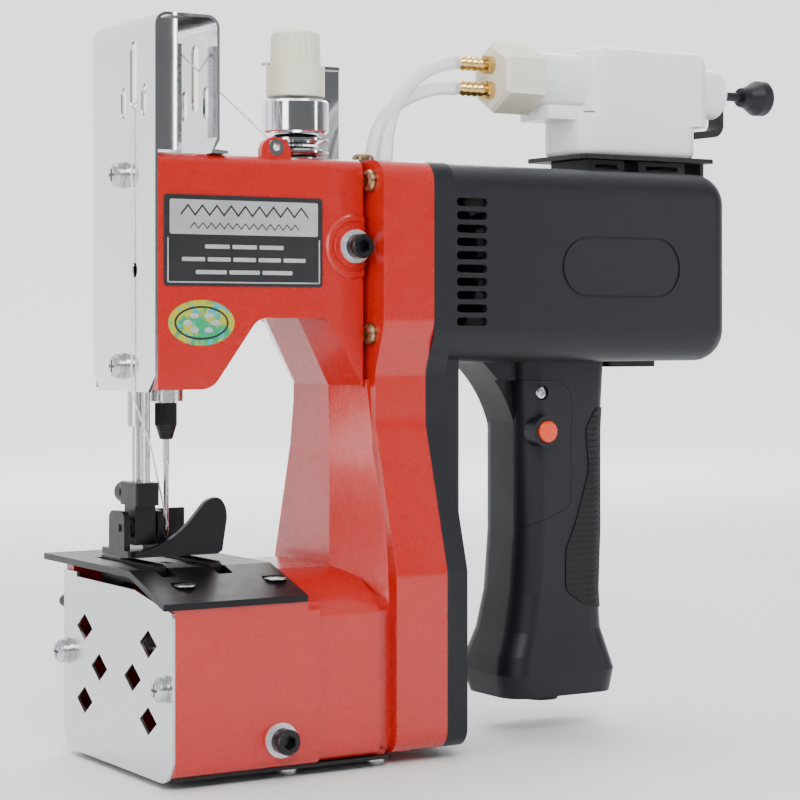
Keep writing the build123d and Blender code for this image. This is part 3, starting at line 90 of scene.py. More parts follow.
MIDDLE = Vector((0, 0, 0.15))    # half way up the machine
area_light("key", (-0.7, -1.6, 1.5), MIDDLE, (0.9, 0.9), 34)
area_light("left_box", (-1.7, -0.7, 0.55), MIDDLE, (0.8, 1.3), 17)
area_light("right_strip", (1.5, -1.5, 0.6), MIDDLE, (0.22, 1.5), 9)
area_light("top", (0.1, 0.4, 1.8), MIDDLE, (1.2, 1.2), 22)
area_light("rear_fill", (1.2, 1.4, 1.0), MIDDLE, (0.8, 0.8), 10)


WORLD_DIM, WORLD_BRIGHT = 0.16, 0.95


def studio_world():
    """Soft surroundings: bright behind the machine and overhead, dim on the camera's side."""
    world = bpy.data.worlds.new("studio")
    world.use_nodes = True
    tree = world.node_tree
    direction = tree.nodes.new("ShaderNodeSeparateXYZ")
    tree.links.new(tree.nodes.new("ShaderNodeTexCoord").outputs["Generated"], direction.inputs[0])
    parts = []
    for letter, low, high in (("Y", -0.45, 0.5), ("Z", 0.35, 0.9)):
        rise = tree.nodes.new("ShaderNodeMapRange")
        rise.interpolation_type = "SMOOTHSTEP"
        rise.inputs["From Min"].default_value = low
        rise.inputs["From Max"].default_value = high
        tree.links.new(direction.outputs[letter], rise.inputs["Value"])
        parts.append(rise.outputs["Result"])
    larger = tree.nodes.new("ShaderNodeMath")
    larger.operation = "MAXIMUM"
    for index, part in enumerate(parts):
        tree.links.new(part, larger.inputs[index])
    strength = tree.nodes.new("ShaderNodeMapRange")
    strength.inputs["To Min"].default_value = WORLD_DIM
    strength.inputs["To Max"].default_value = WORLD_BRIGHT
    tree.links.new(larger.outputs[0], strength.inputs["Value"])
    background = tree.nodes["Background"]
    background.inputs["Color"].default_value = (0.93, 0.95, 0.98, 1)
    tree.links.new(strength.outputs["Result"], background.inputs["Strength"])
    bpy.context.scene.world = world


studio_world()


# ======================================================================== material helpers
class Finish:
    """A material whose shader is fed by procedural nodes in the object's own coordinates."""

    def __init__(self, name, color, roughness, metallic=0.0, **sockets):
        self.material = bpy.data.materials.new(name)
        self.material.use_nodes = True
        self.tree = self.material.node_tree
        self.shader = self.tree.nodes["Principled BSDF"]
        self.shader.inputs["Base Color"].default_value = (*color, 1)
        self.shader.inputs["Roughness"].default_value = roughness
        self.shader.inputs["Metallic"].default_value = metallic
        for socket, value in sockets.items():
            self.shader.inputs[socket.replace("_", " ")].default_value = value
        self.place = self.add("ShaderNodeTexCoord").outputs["Object"]
        self.height = None

    def add(self, kind, **values):
        node = self.tree.nodes.new(kind)
        for key, value in values.items():
            setattr(node, key, value)
        return node

    def link(self, source, target):
        self.tree.links.new(source, target)

    def math(self, operation, first, second=0.0):
        """A Math node; first and second are numbers or outputs of other nodes."""
        node = self.add("ShaderNodeMath", operation=operation)
        for index, value in enumerate((first, second)):
            if hasattr(value, "is_output"):
                self.link(value, node.inputs[index])
            else:
                node.inputs[index].default_value = value
        return node.outputs[0]

    def stretched(self, factors):
        """Object coordinates scaled along each axis, so a factor under 1 draws a pattern out."""
        node = self.add("ShaderNodeMapping")
        self.link(self.place, node.inputs["Vector"])
        node.inputs["Scale"].default_value = factors
        return node.outputs[0]

    def noise(self, size_mm, detail=3.0, stretch=(1, 1, 1)):
        """Smooth noise whose blotches are about size_mm across."""
        node = self.add("ShaderNodeTexNoise")
        node.inputs["Scale"].default_value = 1.0 / (size_mm * MM)
        node.inputs["Detail"].default_value = detail
        self.link(self.stretched(stretch), node.inputs["Vector"])
        return node.outputs["Fac"]

    def cells(self, size_mm):
        """Distance to the nearest of scattered cell centres."""
        node = self.add("ShaderNodeTexVoronoi")
        node.inputs["Scale"].default_value = 1.0 / (size_mm * MM)
        self.link(self.place, node.inputs["Vector"])
        return node.outputs["Distance"]

    def axis(self, letter):
        """One coordinate of the surface, in metres."""
        node = self.add("ShaderNodeSeparateXYZ")
        self.link(self.place, node.inputs[0])
        return node.outputs[letter]

    def step(self, value, low, high):
        """0 below low, 1 above high and a smooth rise between."""
        node = self.add("ShaderNodeMapRange", interpolation_type="SMOOTHSTEP")
        self.link(value, node.inputs["Value"])
        node.inputs["From Min"].default_value = low
        node.inputs["From Max"].default_value = high
        return node.outputs["Result"]

    def wear(self, radius_mm=0.45):
        """About 1 in patches along edges, where a rounded normal leaves the true one, and 0 elsewhere."""
        rounded = self.add("ShaderNodeBevel", samples=6)
        rounded.inputs["Radius"].default_value = radius_mm * MM
        facing = self.add("ShaderNodeVectorMath", operation="DOT_PRODUCT")
        self.link(rounded.outputs[0], facing.inputs[0])
        self.link(self.add("ShaderNodeNewGeometry").outputs["Normal"], facing.inputs[1])
        edge = self.step(facing.outputs["Value"], 0.97, 0.80)
        return self.math("MULTIPLY", edge, self.step(self.noise(6.0, 4.0), 0.50, 0.60))

    def mix_color(self, factor, second):
        """The base colour so far, mixed towards a second one where factor is high."""
        node = self.add("ShaderNodeMix", data_type="RGBA")
        self.link(factor, node.inputs["Factor"])
        before = self.shader.inputs["Base Color"]
        if before.is_linked:
            self.link(before.links[0].from_socket, node.inputs["A"])
        else:
            node.inputs["A"].default_value = before.default_value[:]
        node.inputs["B"].default_value = (*second, 1)
        self.link(node.outputs["Result"], before)

    def vary_roughness(self, factor, low, high):
        """Roughness from low to high as factor goes from 0 to 1."""
        node = self.add("ShaderNodeMapRange")
        self.link(factor, node.inputs["Value"])
        node.inputs["To Min"].default_value = low
        node.inputs["To Max"].default_value = high
        self.link(node.outputs["Result"], self.shader.inputs["Roughness"])

    def raise_by(self, factor, height_mm):
        """Adds relief of this height where factor is high."""
        lift = self.math("MULTIPLY", factor, height_mm * MM)
        self.height = lift if self.height is None else self.math("ADD", self.height, lift)

    def done(self):
        """Feeds the gathered relief to the shader and gives the finished material."""
        if self.height is not None:
            node = self.add("ShaderNodeBump")
            node.inputs["Distance"].default_value = 1.0
            self.link(self.height, node.inputs["Height"])
            self.link(node.outputs["Normal"], self.shader.inputs["Normal"])
        return self.material


# ======================================================================== materials
def red_enamel():
    """Gloss red enamel over a sand casting: smooth on the machined sides, grainier on the column."""
    paint = Finish("red_enamel", (0.46, 0.0075, 0.0035), 0.26, Coat_Weight=0.4, Coat_Roughness=0.10)
    across = paint.axis("X")
    column = paint.math("MULTIPLY", paint.step(across, at(52, 0, 0).x, at(60, 0, 0).x),
                        paint.step(across, at(78, 0, 0).x, at(76, 0, 0).x))
    paint.raise_by(paint.math("MULTIPLY", paint.noise(0.9, 3.0), column), 0.10)
    paint.raise_by(paint.noise(6.0, 2.0), 0.07)
    paint.raise_by(paint.noise(0.8, 2.0), 0.010)
    paint.mix_color(paint.math("MULTIPLY", paint.noise(30, 3.0), 0.4), (0.38, 0.005, 0.003))
    paint.vary_roughness(paint.noise(7, 4.0), 0.20, 0.34)
    paint.mix_color(paint.math("MULTIPLY", paint.wear(), 0.5), (0.62, 0.06, 0.03))
    return paint.done()


GUARD_MIDDLE_X = -13.6    # where the crown of the face guard is highest


def chrome_sheet(name="chrome_sheet", color=(0.83, 0.84, 0.86), roughness=(0.07, 0.17), crown=0.0):
    """Bright plated sheet with faint upright polishing lines and finger smudges; crown bows it along X."""
    plate = Finish(name, color, roughness[0], 1.0)
    plate.raise_by(plate.noise(0.5, 3.0, (1.0, 1.0, 0.02)), 0.003)
    plate.raise_by(plate.noise(14, 2.0), 0.05)
    if crown:
        offset = plate.math("SUBTRACT", plate.axis("X"), at(GUARD_MIDDLE_X, 0, 0).x)
        squared = plate.math("MULTIPLY", offset, offset)
        plate.raise_by(plate.math("MULTIPLY", squared, -1 / MM ** 2), crown)
    plate.vary_roughness(plate.noise(16, 4.0), *roughness)
    plate.mix_color(plate.math("MULTIPLY", plate.noise(24, 3.0), 0.3), tuple(0.82 * c for c in color))
    return plate.done()


def brushed_steel(name="brushed_steel", color=(0.60, 0.61, 0.62), roughness=(0.18, 0.36), grain=0.006):
    """Turned or ground steel with fine marks."""
    steel = Finish(name, color, roughness[0], 1.0)
    steel.raise_by(steel.noise(0.35, 3.0, (1.0, 1.0, 0.25)), grain)
    steel.vary_roughness(steel.noise(3.5, 4.0), *roughness)
    steel.mix_color(steel.math("MULTIPLY", steel.noise(6, 4.0), 0.35), tuple(0.72 * c for c in color))
    return steel.done()


def blackened_steel():
    """Oil-blackened steel, worn bright along its edges."""
    steel = Finish("blackened_steel", (0.006, 0.006, 0.008), 0.30, 0.35, Specular_IOR_Level=0.4)
    steel.raise_by(steel.noise(0.8, 4.0), 0.012)
    steel.vary_roughness(steel.noise(5, 4.0), 0.24, 0.46)
    steel.mix_color(steel.math("MULTIPLY", steel.wear(), 0.5), (0.10, 0.10, 0.105))
    return steel.done()


CAP_SCREW_SEATS = (-30.5, -51.0)    # Y of the faces that the two washers lie on
WASHER_THICKNESS = 1.2


def cap_screw_steel():
    """Blackened socket screws on bright zinc washers, told apart by how far out they stand along Y."""
    steel = Finish("cap_screw_steel", (0.008, 0.008, 0.010), 0.24, 0.4, Specular_IOR_Level=0.5)
    steel.raise_by(steel.noise(0.5, 3.0), 0.006)
    steel.vary_roughness(steel.noise(3, 4.0), 0.20, 0.34)
    depth = steel.axis("Y")
    for seat in CAP_SCREW_SEATS:
        top = seat - WASHER_THICKNESS
        below_top = steel.step(depth, at(0, top - 0.25, 0).y, at(0, top - 0.15, 0).y)
        above_seat = steel.step(depth, at(0, seat + 0.3, 0).y, at(0, seat + 0.2, 0).y)
        washer = steel.math("MULTIPLY", below_top, above_seat)
        steel.mix_color(washer, (0.62, 0.64, 0.67))
    return steel.done()


def black_sheet():
    """Powder-coated black sheet."""
    sheet = Finish("black_sheet", (0.006, 0.006, 0.007), 0.40, Specular_IOR_Level=0.35)
    sheet.raise_by(sheet.noise(0.7, 3.0), 0.025)
    sheet.vary_roughness(sheet.noise(9, 3.0), 0.34, 0.52)
    sheet.mix_color(sheet.math("MULTIPLY", sheet.wear(), 0.4), (0.05, 0.05, 0.055))
    return sheet.done()


def moulded_plastic(name="moulded_plastic", color=(0.0060, 0.0066, 0.0100), grain=0.035, gloss=(0.38, 0.52)):
    """Dark moulded plastic with a fine spark-eroded grain."""
    plastic = Finish(name, color, gloss[0], Specular_IOR_Level=0.32)
    plastic.raise_by(plastic.noise(0.75, 2.0), grain)
    plastic.raise_by(plastic.cells(0.9), grain * 0.4)
    plastic.vary_roughness(plastic.noise(22, 3.0), *gloss)
    plastic.mix_color(plastic.math("MULTIPLY", plastic.noise(40, 3.0), 0.5), tuple(1.5 * c for c in color))
    return plastic.done()


PIP_PITCH = 2.6 * MM


def grip_rubber():
    """Soft black rubber with rows of small pips."""
    rubber = Finish("grip_rubber", (0.006, 0.006, 0.007), 0.60, Specular_IOR_Level=0.35)
    rows = rubber.math("SINE", rubber.math("MULTIPLY", rubber.axis("Z"), 2 * pi / PIP_PITCH))
    columns = rubber.math("SINE", rubber.math("MULTIPLY", rubber.axis("Y"), 2 * pi / PIP_PITCH))
    pips = rubber.step(rubber.math("ADD", rows, columns), 0.3, 1.5)
    rubber.raise_by(pips, 0.35)
    rubber.raise_by(rubber.noise(0.6, 2.0), 0.03)
    rubber.vary_roughness(rubber.noise(10, 3.0), 0.52, 0.72)
    return rubber.done()


def belt_rubber():
    """Toothed belt rubber."""
    rubber = Finish("belt_rubber", (0.016, 0.016, 0.016), 0.66)
    rubber.raise_by(rubber.noise(0.5, 3.0, (0.1, 1, 1)), 0.05)
    rubber.vary_roughness(rubber.noise(5, 2.0), 0.55, 0.75)
    return rubber.done()


def brass(name="brass", color=(0.74, 0.50, 0.18)):
    """Turned brass, a little tarnished."""
    metal = Finish(name, color, 0.22, 1.0)
    metal.raise_by(metal.noise(0.3, 3.0, (0.2, 1, 1)), 0.004)
    metal.vary_roughness(metal.noise(2.5, 4.0), 0.16, 0.40)
    metal.mix_color(metal.step(metal.noise(3.0, 5.0), 0.45, 0.75), tuple(0.62 * c for c in color))
    return metal.done()


def orange_plastic():
    """Gloss orange button."""
    plastic = Finish("orange_plastic", (0.72, 0.060, 0.006), 0.25, Coat_Weight=0.3)
    plastic.raise_by(plastic.noise(0.5, 2.0), 0.008)
    plastic.vary_roughness(plastic.noise(2, 3.0), 0.20, 0.34)
    plastic.mix_color(plastic.math("MULTIPLY", plastic.noise(3, 2.0), 0.4), (0.72, 0.05, 0.008))
    return plastic.done()


def nylon(name, color, depth_mm, weight, gloss=(0.26, 0.42)):
    """Waxy light plastic that lets some light into itself."""
    plastic = Finish(name, color, gloss[0], Subsurface_Weight=weight, Subsurface_Scale=depth_mm * MM)
    plastic.shader.inputs["Subsurface Radius"].default_value = (1.0, 0.92, 0.80)
    plastic.raise_by(plastic.noise(2.2, 3.0), 0.02)
    plastic.vary_roughness(plastic.noise(9, 4.0), *gloss)
    plastic.mix_color(plastic.math("MULTIPLY", plastic.noise(18, 3.0), 0.4), tuple(0.93 * c for c in color))
    return plastic.done()


def clear_hose():
    """Clear soft hose with a thin wall: clearest in the middle, milky towards its edges."""
    hose = Finish("clear_hose", (0.80, 0.83, 0.84), 0.10, Specular_IOR_Level=0.6)
    rim = hose.add("ShaderNodeLayerWeight")
    rim.inputs["Blend"].default_value = 0.45
    wall = hose.add("ShaderNodeMapRange")
    hose.link(rim.outputs["Facing"], wall.inputs["Value"])
    wall.inputs["To Min"].default_value = 0.30
    wall.inputs["To Max"].default_value = 0.95
    hose.link(wall.outputs["Result"], hose.shader.inputs["Alpha"])
    hose.raise_by(hose.noise(1.5, 3.0), 0.012)
    hose.vary_roughness(hose.noise(6, 3.0), 0.06, 0.20)
    return hose.done()


def thread_yarn():
    """White twisted sewing thread."""
    yarn = Finish("thread_yarn", (0.84, 0.83, 0.80), 0.8, Sheen_Weight=0.4)
    yarn.raise_by(yarn.noise(0.25, 3.0, (1, 1, 0.4)), 0.08)
    yarn.mix_color(yarn.noise(1.5, 3.0), (0.66, 0.65, 0.62))
    return yarn.done()


RED = red_enamel()
CHROME = chrome_sheet()
GUARD_CHROME = chrome_sheet("guard_chrome", crown=0.028)
SATIN = chrome_sheet("satin_sheet", (0.70, 0.71, 0.72), (0.22, 0.34))
STEEL = brushed_steel()
CAP_STEEL = cap_screw_steel()
CORE_STEEL = brushed_steel("core_steel", (0.28, 0.28, 0.29), (0.35, 0.55), 0.02)
ALUMINIUM = brushed_steel("aluminium", (0.72, 0.73, 0.75), (0.22, 0.4))
BLACK_STEEL = blackened_steel()
BLACK_SHEET = black_sheet()
PLASTIC = moulded_plastic()
RUBBER = grip_rubber()
BELT = belt_rubber()
BRASS = brass()
BRASS_SCREW = brass("brass_screw", (0.34, 0.25, 0.13))
ORANGE = orange_plastic()
CREAM = nylon("cream_nylon", (0.80, 0.76, 0.62), 2.0, 0.35)
BOTTLE = nylon("bottle_plastic", (0.90, 0.92, 0.93), 6.0, 0.6, (0.22, 0.36))
HOSE = clear_hose()
THREAD = thread_yarn()

FINISHES = {
    RED: ("main_casting",),
    GUARD_CHROME: ("face_guard",),
    SATIN: ("box_front_plate",),
    CHROME: ("head_side_cover", "lug_eyelet", "thread_bracket", "tension_discs"),
    STEEL: ("plate_screws", "bottom_cover_screws", "side_cover_screw", "motor_bearings", "main_shaft",
            "needle_bar", "head_bushes", "needle", "presser_bar", "presser_spring", "lower_shaft",
            "looper", "tension_post", "needle_plate_screws"),
    CAP_STEEL: ("cap_screws",),
    CORE_STEEL: ("motor_stator", "motor_armature"),
    ALUMINIUM: ("lower_pulleys", "upper_pulley", "connecting_rod"),
    BLACK_SHEET: ("bottom_cover", "underside_clip", "oiler_bracket", "box_side_pin"),
    PLASTIC: ("belt_housing", "motor_housing", "handle_side_cover", "power_switch", "cooling_fan",
              "pump_plunger"),
    RUBBER: ("handle_grip", "cord_bush", "hose_grommets"),
    BELT: ("motor_belt", "sync_belt"),
    BRASS: ("hose_barbs", "brush_holders", "shaft_bushes"),
    BRASS_SCREW: ("flange_screws",),
    ORANGE: ("push_button",),
    CREAM: ("tension_knob", "bottle_nut"),
    BLACK_STEEL: ("needle_plate", "presser_foot", "presser_shank", "needle_chuck", "feed_dog"),
    BOTTLE: ("oil_bottle",),
    THREAD: ("upper_threads", "needle_thread"),
    HOSE: ("oil_hose_near", "oil_hose_far"),
}
for finish, names in FINISHES.items():
    for node_name in names:
        mesh = NODES[node_name].data
        mesh.materials.clear()
        mesh.materials.append(finish)


# ======================================================================== pieces made here
def put(name, data, body, *materials):
    """A new piece on the scene that rides on a body."""
    piece = bpy.data.objects.new(name, data)
    bpy.context.scene.collection.objects.link(piece)
    for finish in materials:
        data.materials.append(finish)
    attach(piece, body)
    return piece


def strand(name, points, radius):
    """A round NURBS curve that the points steer, from the first to the last."""
    data = bpy.data.curves.new(name, "CURVE")
    data.dimensions = "3D"
    data.bevel_depth = radius
    data.bevel_resolution = 5
    data.resolution_u = 16
    data.use_fill_caps = True
    spline = data.splines.new("NURBS")
    spline.points.add(len(points) - 1)
    for point, place in zip(spline.points, points):
        point.co = (*place, 1)
    spline.order_u = 3
    spline.use_endpoint_u = True
    return data


# ---- oil hoses, from the bottle's barbs down into the casting
HOSE_DIAMETER = 6.0 * MM
HOSE_ROUTES = {
    "near": (
        (138.6, 0.0, 289.9), (129.4, -1.0, 288.6), (116.0, -4.0, 282.6), (106.0, -8.0, 274.5),
        (98.5, -11.0, 264.5), (95.3, -12.8, 254.6), (94.7, -13.0, 244.4),
    ),
    "far": (
        (138.6, 0.0, 278.9), (129.9, 0.0, 278.6), (119.6, 0.5, 276.2), (110.4, 1.0, 271.9),
        (102.8, 1.2, 265.2), (97.6, 1.1, 256.0), (95.7, 1.0, 244.4),
    ),
}
for side, route in HOSE_ROUTES.items():
    places = [at(*point) for point in route]
    hose = put(f"hose_{side}", strand(f"hose_{side}", places, HOSE_DIAMETER / 2), "machine", HOSE)
    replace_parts(hose, f"oil_hose_{side}")

# ---- sewing thread: tension, lug, take-up, down the face guard and to the needle
THREAD_RADIUS = 0.42 * MM
THREAD_TURNS_PER_MM = 0.45
THREAD_SIDES = 12
THREAD_STEP = 0.4 * MM
TENSION_EXIT = at(44.0, -18.5, 249.3)
TAKE_UP_EYE = at(1.5, -9.4, 284.5)
LUG_EYE = at(35.3, -27.9, 247.4)
SLOT_FOOT = at(-19.4, -9.5, 262.0)
FACE_FOOT = at(-19.5, -9.5, 150.2)
NEEDLE_EYE = at(0.0, -1.5, 96.5)


def twisted(points):
    """Three-ply thread along a polyline, as a mesh tube whose section turns as it goes."""
    mesh = bmesh.new()
    rings = []
    travelled = 0.0
    for first, second in zip(points[:-1], points[1:]):
        run = second - first
        steps = max(int(run.length / THREAD_STEP), 2)
        direction = run.normalized()
        side = direction.cross(Vector((0.3, 0.9, 0.2))).normalized()
        up = direction.cross(side)
        for step in range(steps):
            centre = first + run * step / (steps - 1)
            travelled_mm = (travelled + run.length * step / (steps - 1)) / MM
            twist = travelled_mm * THREAD_TURNS_PER_MM * 2 * pi
            ring = []
            for corner in range(THREAD_SIDES):
                angle = 2 * pi * corner / THREAD_SIDES
                reach = THREAD_RADIUS * (0.86 + 0.14 * cos(3 * (angle - twist)))
                ring.append(mesh.verts.new(centre + (side * cos(angle) + up * sin(angle)) * reach))
            rings.append(ring)
        travelled += run.length
    for ring, following in zip(rings[:-1], rings[1:]):
        for corner in range(THREAD_SIDES):
            after = (corner + 1) % THREAD_SIDES
            mesh.faces.new((ring[corner], ring[after], following[after], following[corner]))
    mesh.faces.new(list(reversed(rings[0])))
    mesh.faces.new(rings[-1])
    data = bpy.data.meshes.new("thread")
    mesh.to_mesh(data)
    mesh.free()
    for polygon in data.polygons:
        polygon.use_smooth = True
    data.materials.append(THREAD)
    return data


def thread(name, points, ends=None):
    """One stretch of thread; when ends is given, the stretch rides on no body and its placement is baked
    into its mesh.
    """
    piece = bpy.data.objects.new(name, twisted(points))
    bpy.context.scene.collection.objects.link(piece)
    if ends:
        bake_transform(piece)
    else:
        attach(piece, "machine")
    return piece


thread("thread_tension", (TENSION_EXIT, LUG_EYE))
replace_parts(thread("thread_face", (SLOT_FOOT, FACE_FOOT)), "upper_threads")
thread("thread_take_up", (LUG_EYE, TAKE_UP_EYE), (LUG_EYE, TAKE_UP_EYE))
thread("thread_guard", (SLOT_FOOT, TAKE_UP_EYE), (SLOT_FOOT, TAKE_UP_EYE))
lower_points = (FACE_FOOT, at(-12.0, -11.5, 128.0), NEEDLE_EYE)
lower_stretch = thread("thread_needle", lower_points, (FACE_FOOT, NEEDLE_EYE))
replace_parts(lower_stretch, "needle_thread")


# ---- label plate: dark frame, bright upper panel and plain stitch patterns in place of words
def plate(name, outline, y_back, y_front, bevel, body, *materials):
    """A flat plate facing -Y with a rounded rim; outline is a list of (x, z) in millimetres."""
    mesh = bmesh.new()
    back = [mesh.verts.new(at(x, y_back, z)) for x, z in outline]
    face = mesh.faces.new(back)
    grown = bmesh.ops.extrude_face_region(mesh, geom=[face])
    for vert in (g for g in grown["geom"] if isinstance(g, bmesh.types.BMVert)):
        vert.co.y = at(0, y_front, 0).y
    bmesh.ops.recalc_face_normals(mesh, faces=mesh.faces)
    data = bpy.data.meshes.new(name)
    mesh.to_mesh(data)
    mesh.free()
    piece = put(name, data, body, *materials)
    rim = piece.modifiers.new("rim", "BEVEL")
    rim.width = bevel * MM
    rim.segments = 3
    return piece


CORNER_STEPS = 6


def rounded_rectangle(x0, x1, z0, z1, radius):
    """The outline of a rectangle whose corners are arcs, as a list of (x, z)."""
    points = []
    for cx, cz, start in ((x1 - radius, z1 - radius, 0), (x0 + radius, z1 - radius, 90),
                          (x0 + radius, z0 + radius, 180), (x1 - radius, z0 + radius, 270)):
        for step in range(CORNER_STEPS + 1):
            angle = radians(start + 90 * step / CORNER_STEPS)
            points.append((cx + radius * cos(angle), cz + radius * sin(angle)))
    return points


def ellipse(cx, cz, a, b, steps=64):
    """The outline of an ellipse with half axes a and b, as a list of (x, z)."""
    return [(cx + a * cos(2 * pi * i / steps), cz + b * sin(2 * pi * i / steps)) for i in range(steps)]


def label_black():
    """Satin black ink."""
    ink = Finish("label_black", (0.012, 0.012, 0.014), 0.32, Coat_Weight=0.3)
    ink.raise_by(ink.noise(1.2, 3.0), 0.01)
    ink.vary_roughness(ink.noise(8, 3.0), 0.26, 0.44)
    return ink.done()


def label_silver():
    """Silver foil brushed along X."""
    foil = Finish("label_silver", (0.78, 0.79, 0.80), 0.30, 0.9)
    foil.raise_by(foil.noise(0.3, 3.0, (0.02, 1, 1)), 0.004)
    foil.vary_roughness(foil.noise(9, 3.0), 0.24, 0.40)
    foil.mix_color(foil.math("MULTIPLY", foil.noise(12, 3.0), 0.4), (0.62, 0.63, 0.65))
    return foil.done()


def sticker_foil():
    """Holographic foil that drifts between green, yellow and cyan."""
    foil = Finish("sticker_foil", (0.02, 0.40, 0.16), 0.25, 0.35)
    foil.mix_color(foil.step(foil.noise(5.0, 2.0), 0.42, 0.58), (0.50, 0.52, 0.04))
    foil.mix_color(foil.step(foil.noise(3.4, 2.0), 0.55, 0.66), (0.02, 0.48, 0.50))
    foil.raise_by(foil.noise(0.6, 2.0), 0.01)
    foil.vary_roughness(foil.noise(4, 3.0), 0.18, 0.34)
    return foil.done()


LABEL_BLACK = label_black()
LABEL_SILVER = label_silver()
STICKER_FOIL = sticker_foil()

# depths along Y, each a little further out than the one before
HEAD_FACE = -29.0
INLAY_BACK = HEAD_FACE - 0.40
LABEL_FRONT = HEAD_FACE - 0.45
INLAY_FRONT = HEAD_FACE - 0.55
PANEL_FRONT = HEAD_FACE - 0.60
STITCH_FRONT = HEAD_FACE - 0.66

label_outline = rounded_rectangle(-15.0, 55.3, 191.7, 227.3, 1.5)
label_back = plate("label_plate", label_outline, HEAD_FACE, LABEL_FRONT, 0.12, "machine", LABEL_BLACK)
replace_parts(label_back, "head_label")


def label_piece(name, outline, front, finish):
    """A thin inlay set into the label plate."""
    piece = plate(name, outline, INLAY_BACK, front, 0.04, "machine", finish)


label_piece("label_panel", rounded_rectangle(-12.6, 53.0, 211.9, 225.4, 0.8), PANEL_FRONT, LABEL_SILVER)
label_piece("label_rim_low", rounded_rectangle(-13.6, 54.0, 193.0, 193.5, 0.2), INLAY_FRONT, LABEL_SILVER)
label_piece("label_rim_left", rounded_rectangle(-13.6, -13.1, 193.0, 210.6, 0.2), INLAY_FRONT, LABEL_SILVER)
label_piece("label_rim_right", rounded_rectangle(53.5, 54.0, 193.0, 210.6, 0.2), INLAY_FRONT, LABEL_SILVER)


def stitch_line(name, x0, x1, z0, z1, count, width):
    """A zigzag band of even width from x0 to x1, in place of the words on the bright panel."""
    pitch = (x1 - x0) / count
    spine = [(x0 + i * pitch, z1 if i % 2 else z0) for i in range(count + 1)]
    upper = [(x, z + width / 2) for x, z in spine]
    lower = [(x, z - width / 2) for x, z in reversed(spine)]
    label_piece(name, upper + lower, STITCH_FRONT, LABEL_BLACK)


stitch_line("label_stitches_high", -8.0, 48.5, 219.4, 223.2, 18, 1.1)
stitch_line("label_stitches_low", -4.0, 44.5, 214.2, 216.4, 26, 0.7)

# rows of short bars on the dark part, in place of words: the left and right end of each row
BAR_ROWS = ((2.0, 38.0), (-8.0, 48.0), (-2.0, 42.0))
BAR_TOP_Z = 207.2
BAR_ROW_PITCH = 5.0
BAR_HALF_HEIGHT = 0.8
BAR_HALF_GAP = 0.6
for row, (left, right) in enumerate(BAR_ROWS):
    z = BAR_TOP_Z - BAR_ROW_PITCH * row
    cells = 3 + 2 * (row % 2)
    pitch = (right - left) / cells
    for cell in range(cells):
        x0 = left + cell * pitch + BAR_HALF_GAP
        x1 = left + (cell + 1) * pitch - BAR_HALF_GAP
        bar = rounded_rectangle(x0, x1, z - BAR_HALF_HEIGHT, z + BAR_HALF_HEIGHT, 0.4)
        label_piece(f"label_bar_{row}_{cell}", bar, INLAY_FRONT, LABEL_SILVER)

# ---- oval foil sticker under the label, with a plain leaf pattern
STICKER_X, STICKER_Z = 1.3, 177.4
STICKER_BACK = HEAD_FACE + 0.04    # a little inside the casting, so no gap shows under it
LEAVES = 6


def sticker_piece(name, outline, thickness, finish):
    """One layer of the sticker, standing this far out of the head's face."""
    piece = plate(name, outline, STICKER_BACK, HEAD_FACE - thickness, 0.02, "machine", finish)


sticker_piece("sticker_rim", ellipse(STICKER_X, STICKER_Z, 14.4, 8.9), 0.10, STICKER_FOIL)
sticker_piece("sticker_field", ellipse(STICKER_X, STICKER_Z, 11.8, 6.6), 0.16, LABEL_BLACK)
sticker_piece("sticker_ring", ellipse(STICKER_X, STICKER_Z, 10.9, 5.8), 0.20, STICKER_FOIL)
for leaf in range(LEAVES):
    turn = 2 * pi * leaf / LEAVES
    place = (STICKER_X + 6.2 * cos(turn), STICKER_Z + 3.2 * sin(turn))
    sticker_piece(f"sticker_leaf_{leaf}", ellipse(*place, 1.9, 1.1, 24), 0.25, LABEL_SILVER)


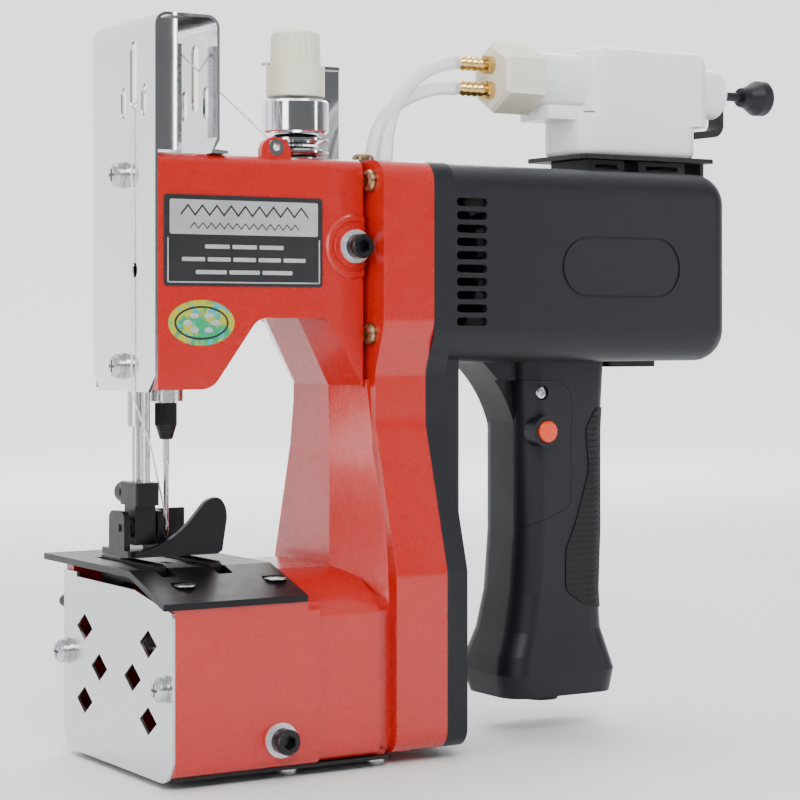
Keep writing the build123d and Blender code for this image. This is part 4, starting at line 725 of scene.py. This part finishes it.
# ======================================================================== floor
FLOOR_BEND_START = 2.0    # metres from the origin, away from the camera
BEND_RADIUS = 1.5
BEND_STEPS = 12
FLOOR_HALF_WIDTH = 6
FLOOR_ROWS = 8    # flat rows, a metre apart
WALL_ROWS = 4    # upright rows, a metre apart
BACKDROP_GLOW = 1.1


def floor():
    """A large pale floor that curves up into a backdrop, which glows white behind the machine."""
    mesh = bmesh.new()
    flat = [(FLOOR_BEND_START - back, 0.0) for back in range(FLOOR_ROWS, 0, -1)]
    turns = [pi / 2 * step / BEND_STEPS for step in range(BEND_STEPS + 1)]
    bend = [(FLOOR_BEND_START + BEND_RADIUS * sin(turn), BEND_RADIUS * (1 - cos(turn))) for turn in turns]
    wall = [(FLOOR_BEND_START + BEND_RADIUS, BEND_RADIUS + rise) for rise in range(1, WALL_ROWS + 1)]
    behind = Vector((sin(VIEW_TURN), cos(VIEW_TURN), 0))
    across = Vector((cos(VIEW_TURN), -sin(VIEW_TURN), 0))
    verts = []
    for run, rise in flat + bend + wall:
        middle = behind * run + Vector((0, 0, rise))
        ends = [middle + across * side for side in (-FLOOR_HALF_WIDTH, FLOOR_HALF_WIDTH)]
        verts.append([mesh.verts.new(end) for end in ends])
    for first, second in zip(verts[:-1], verts[1:]):
        mesh.faces.new((first[0], first[1], second[1], second[0]))
    data = bpy.data.meshes.new("floor")
    mesh.to_mesh(data)
    mesh.free()
    for polygon in data.polygons:
        polygon.use_smooth = True
    plane = bpy.data.objects.new("floor", data)
    bpy.context.scene.collection.objects.link(plane)
    paper = Finish("floor_paper", (0.86, 0.865, 0.87), 0.75)
    paper.mix_color(paper.math("MULTIPLY", paper.noise(400, 2.0), 0.3), (0.83, 0.835, 0.84))
    lit = paper.step(paper.axis("Y"), 0.5, 1.6)
    glow = paper.math("MULTIPLY", lit, BACKDROP_GLOW)
    paper.shader.inputs["Emission Color"].default_value = (1.0, 1.0, 1.0, 1)
    paper.link(glow, paper.shader.inputs["Emission Strength"])
    data.materials.append(paper.done())


floor()
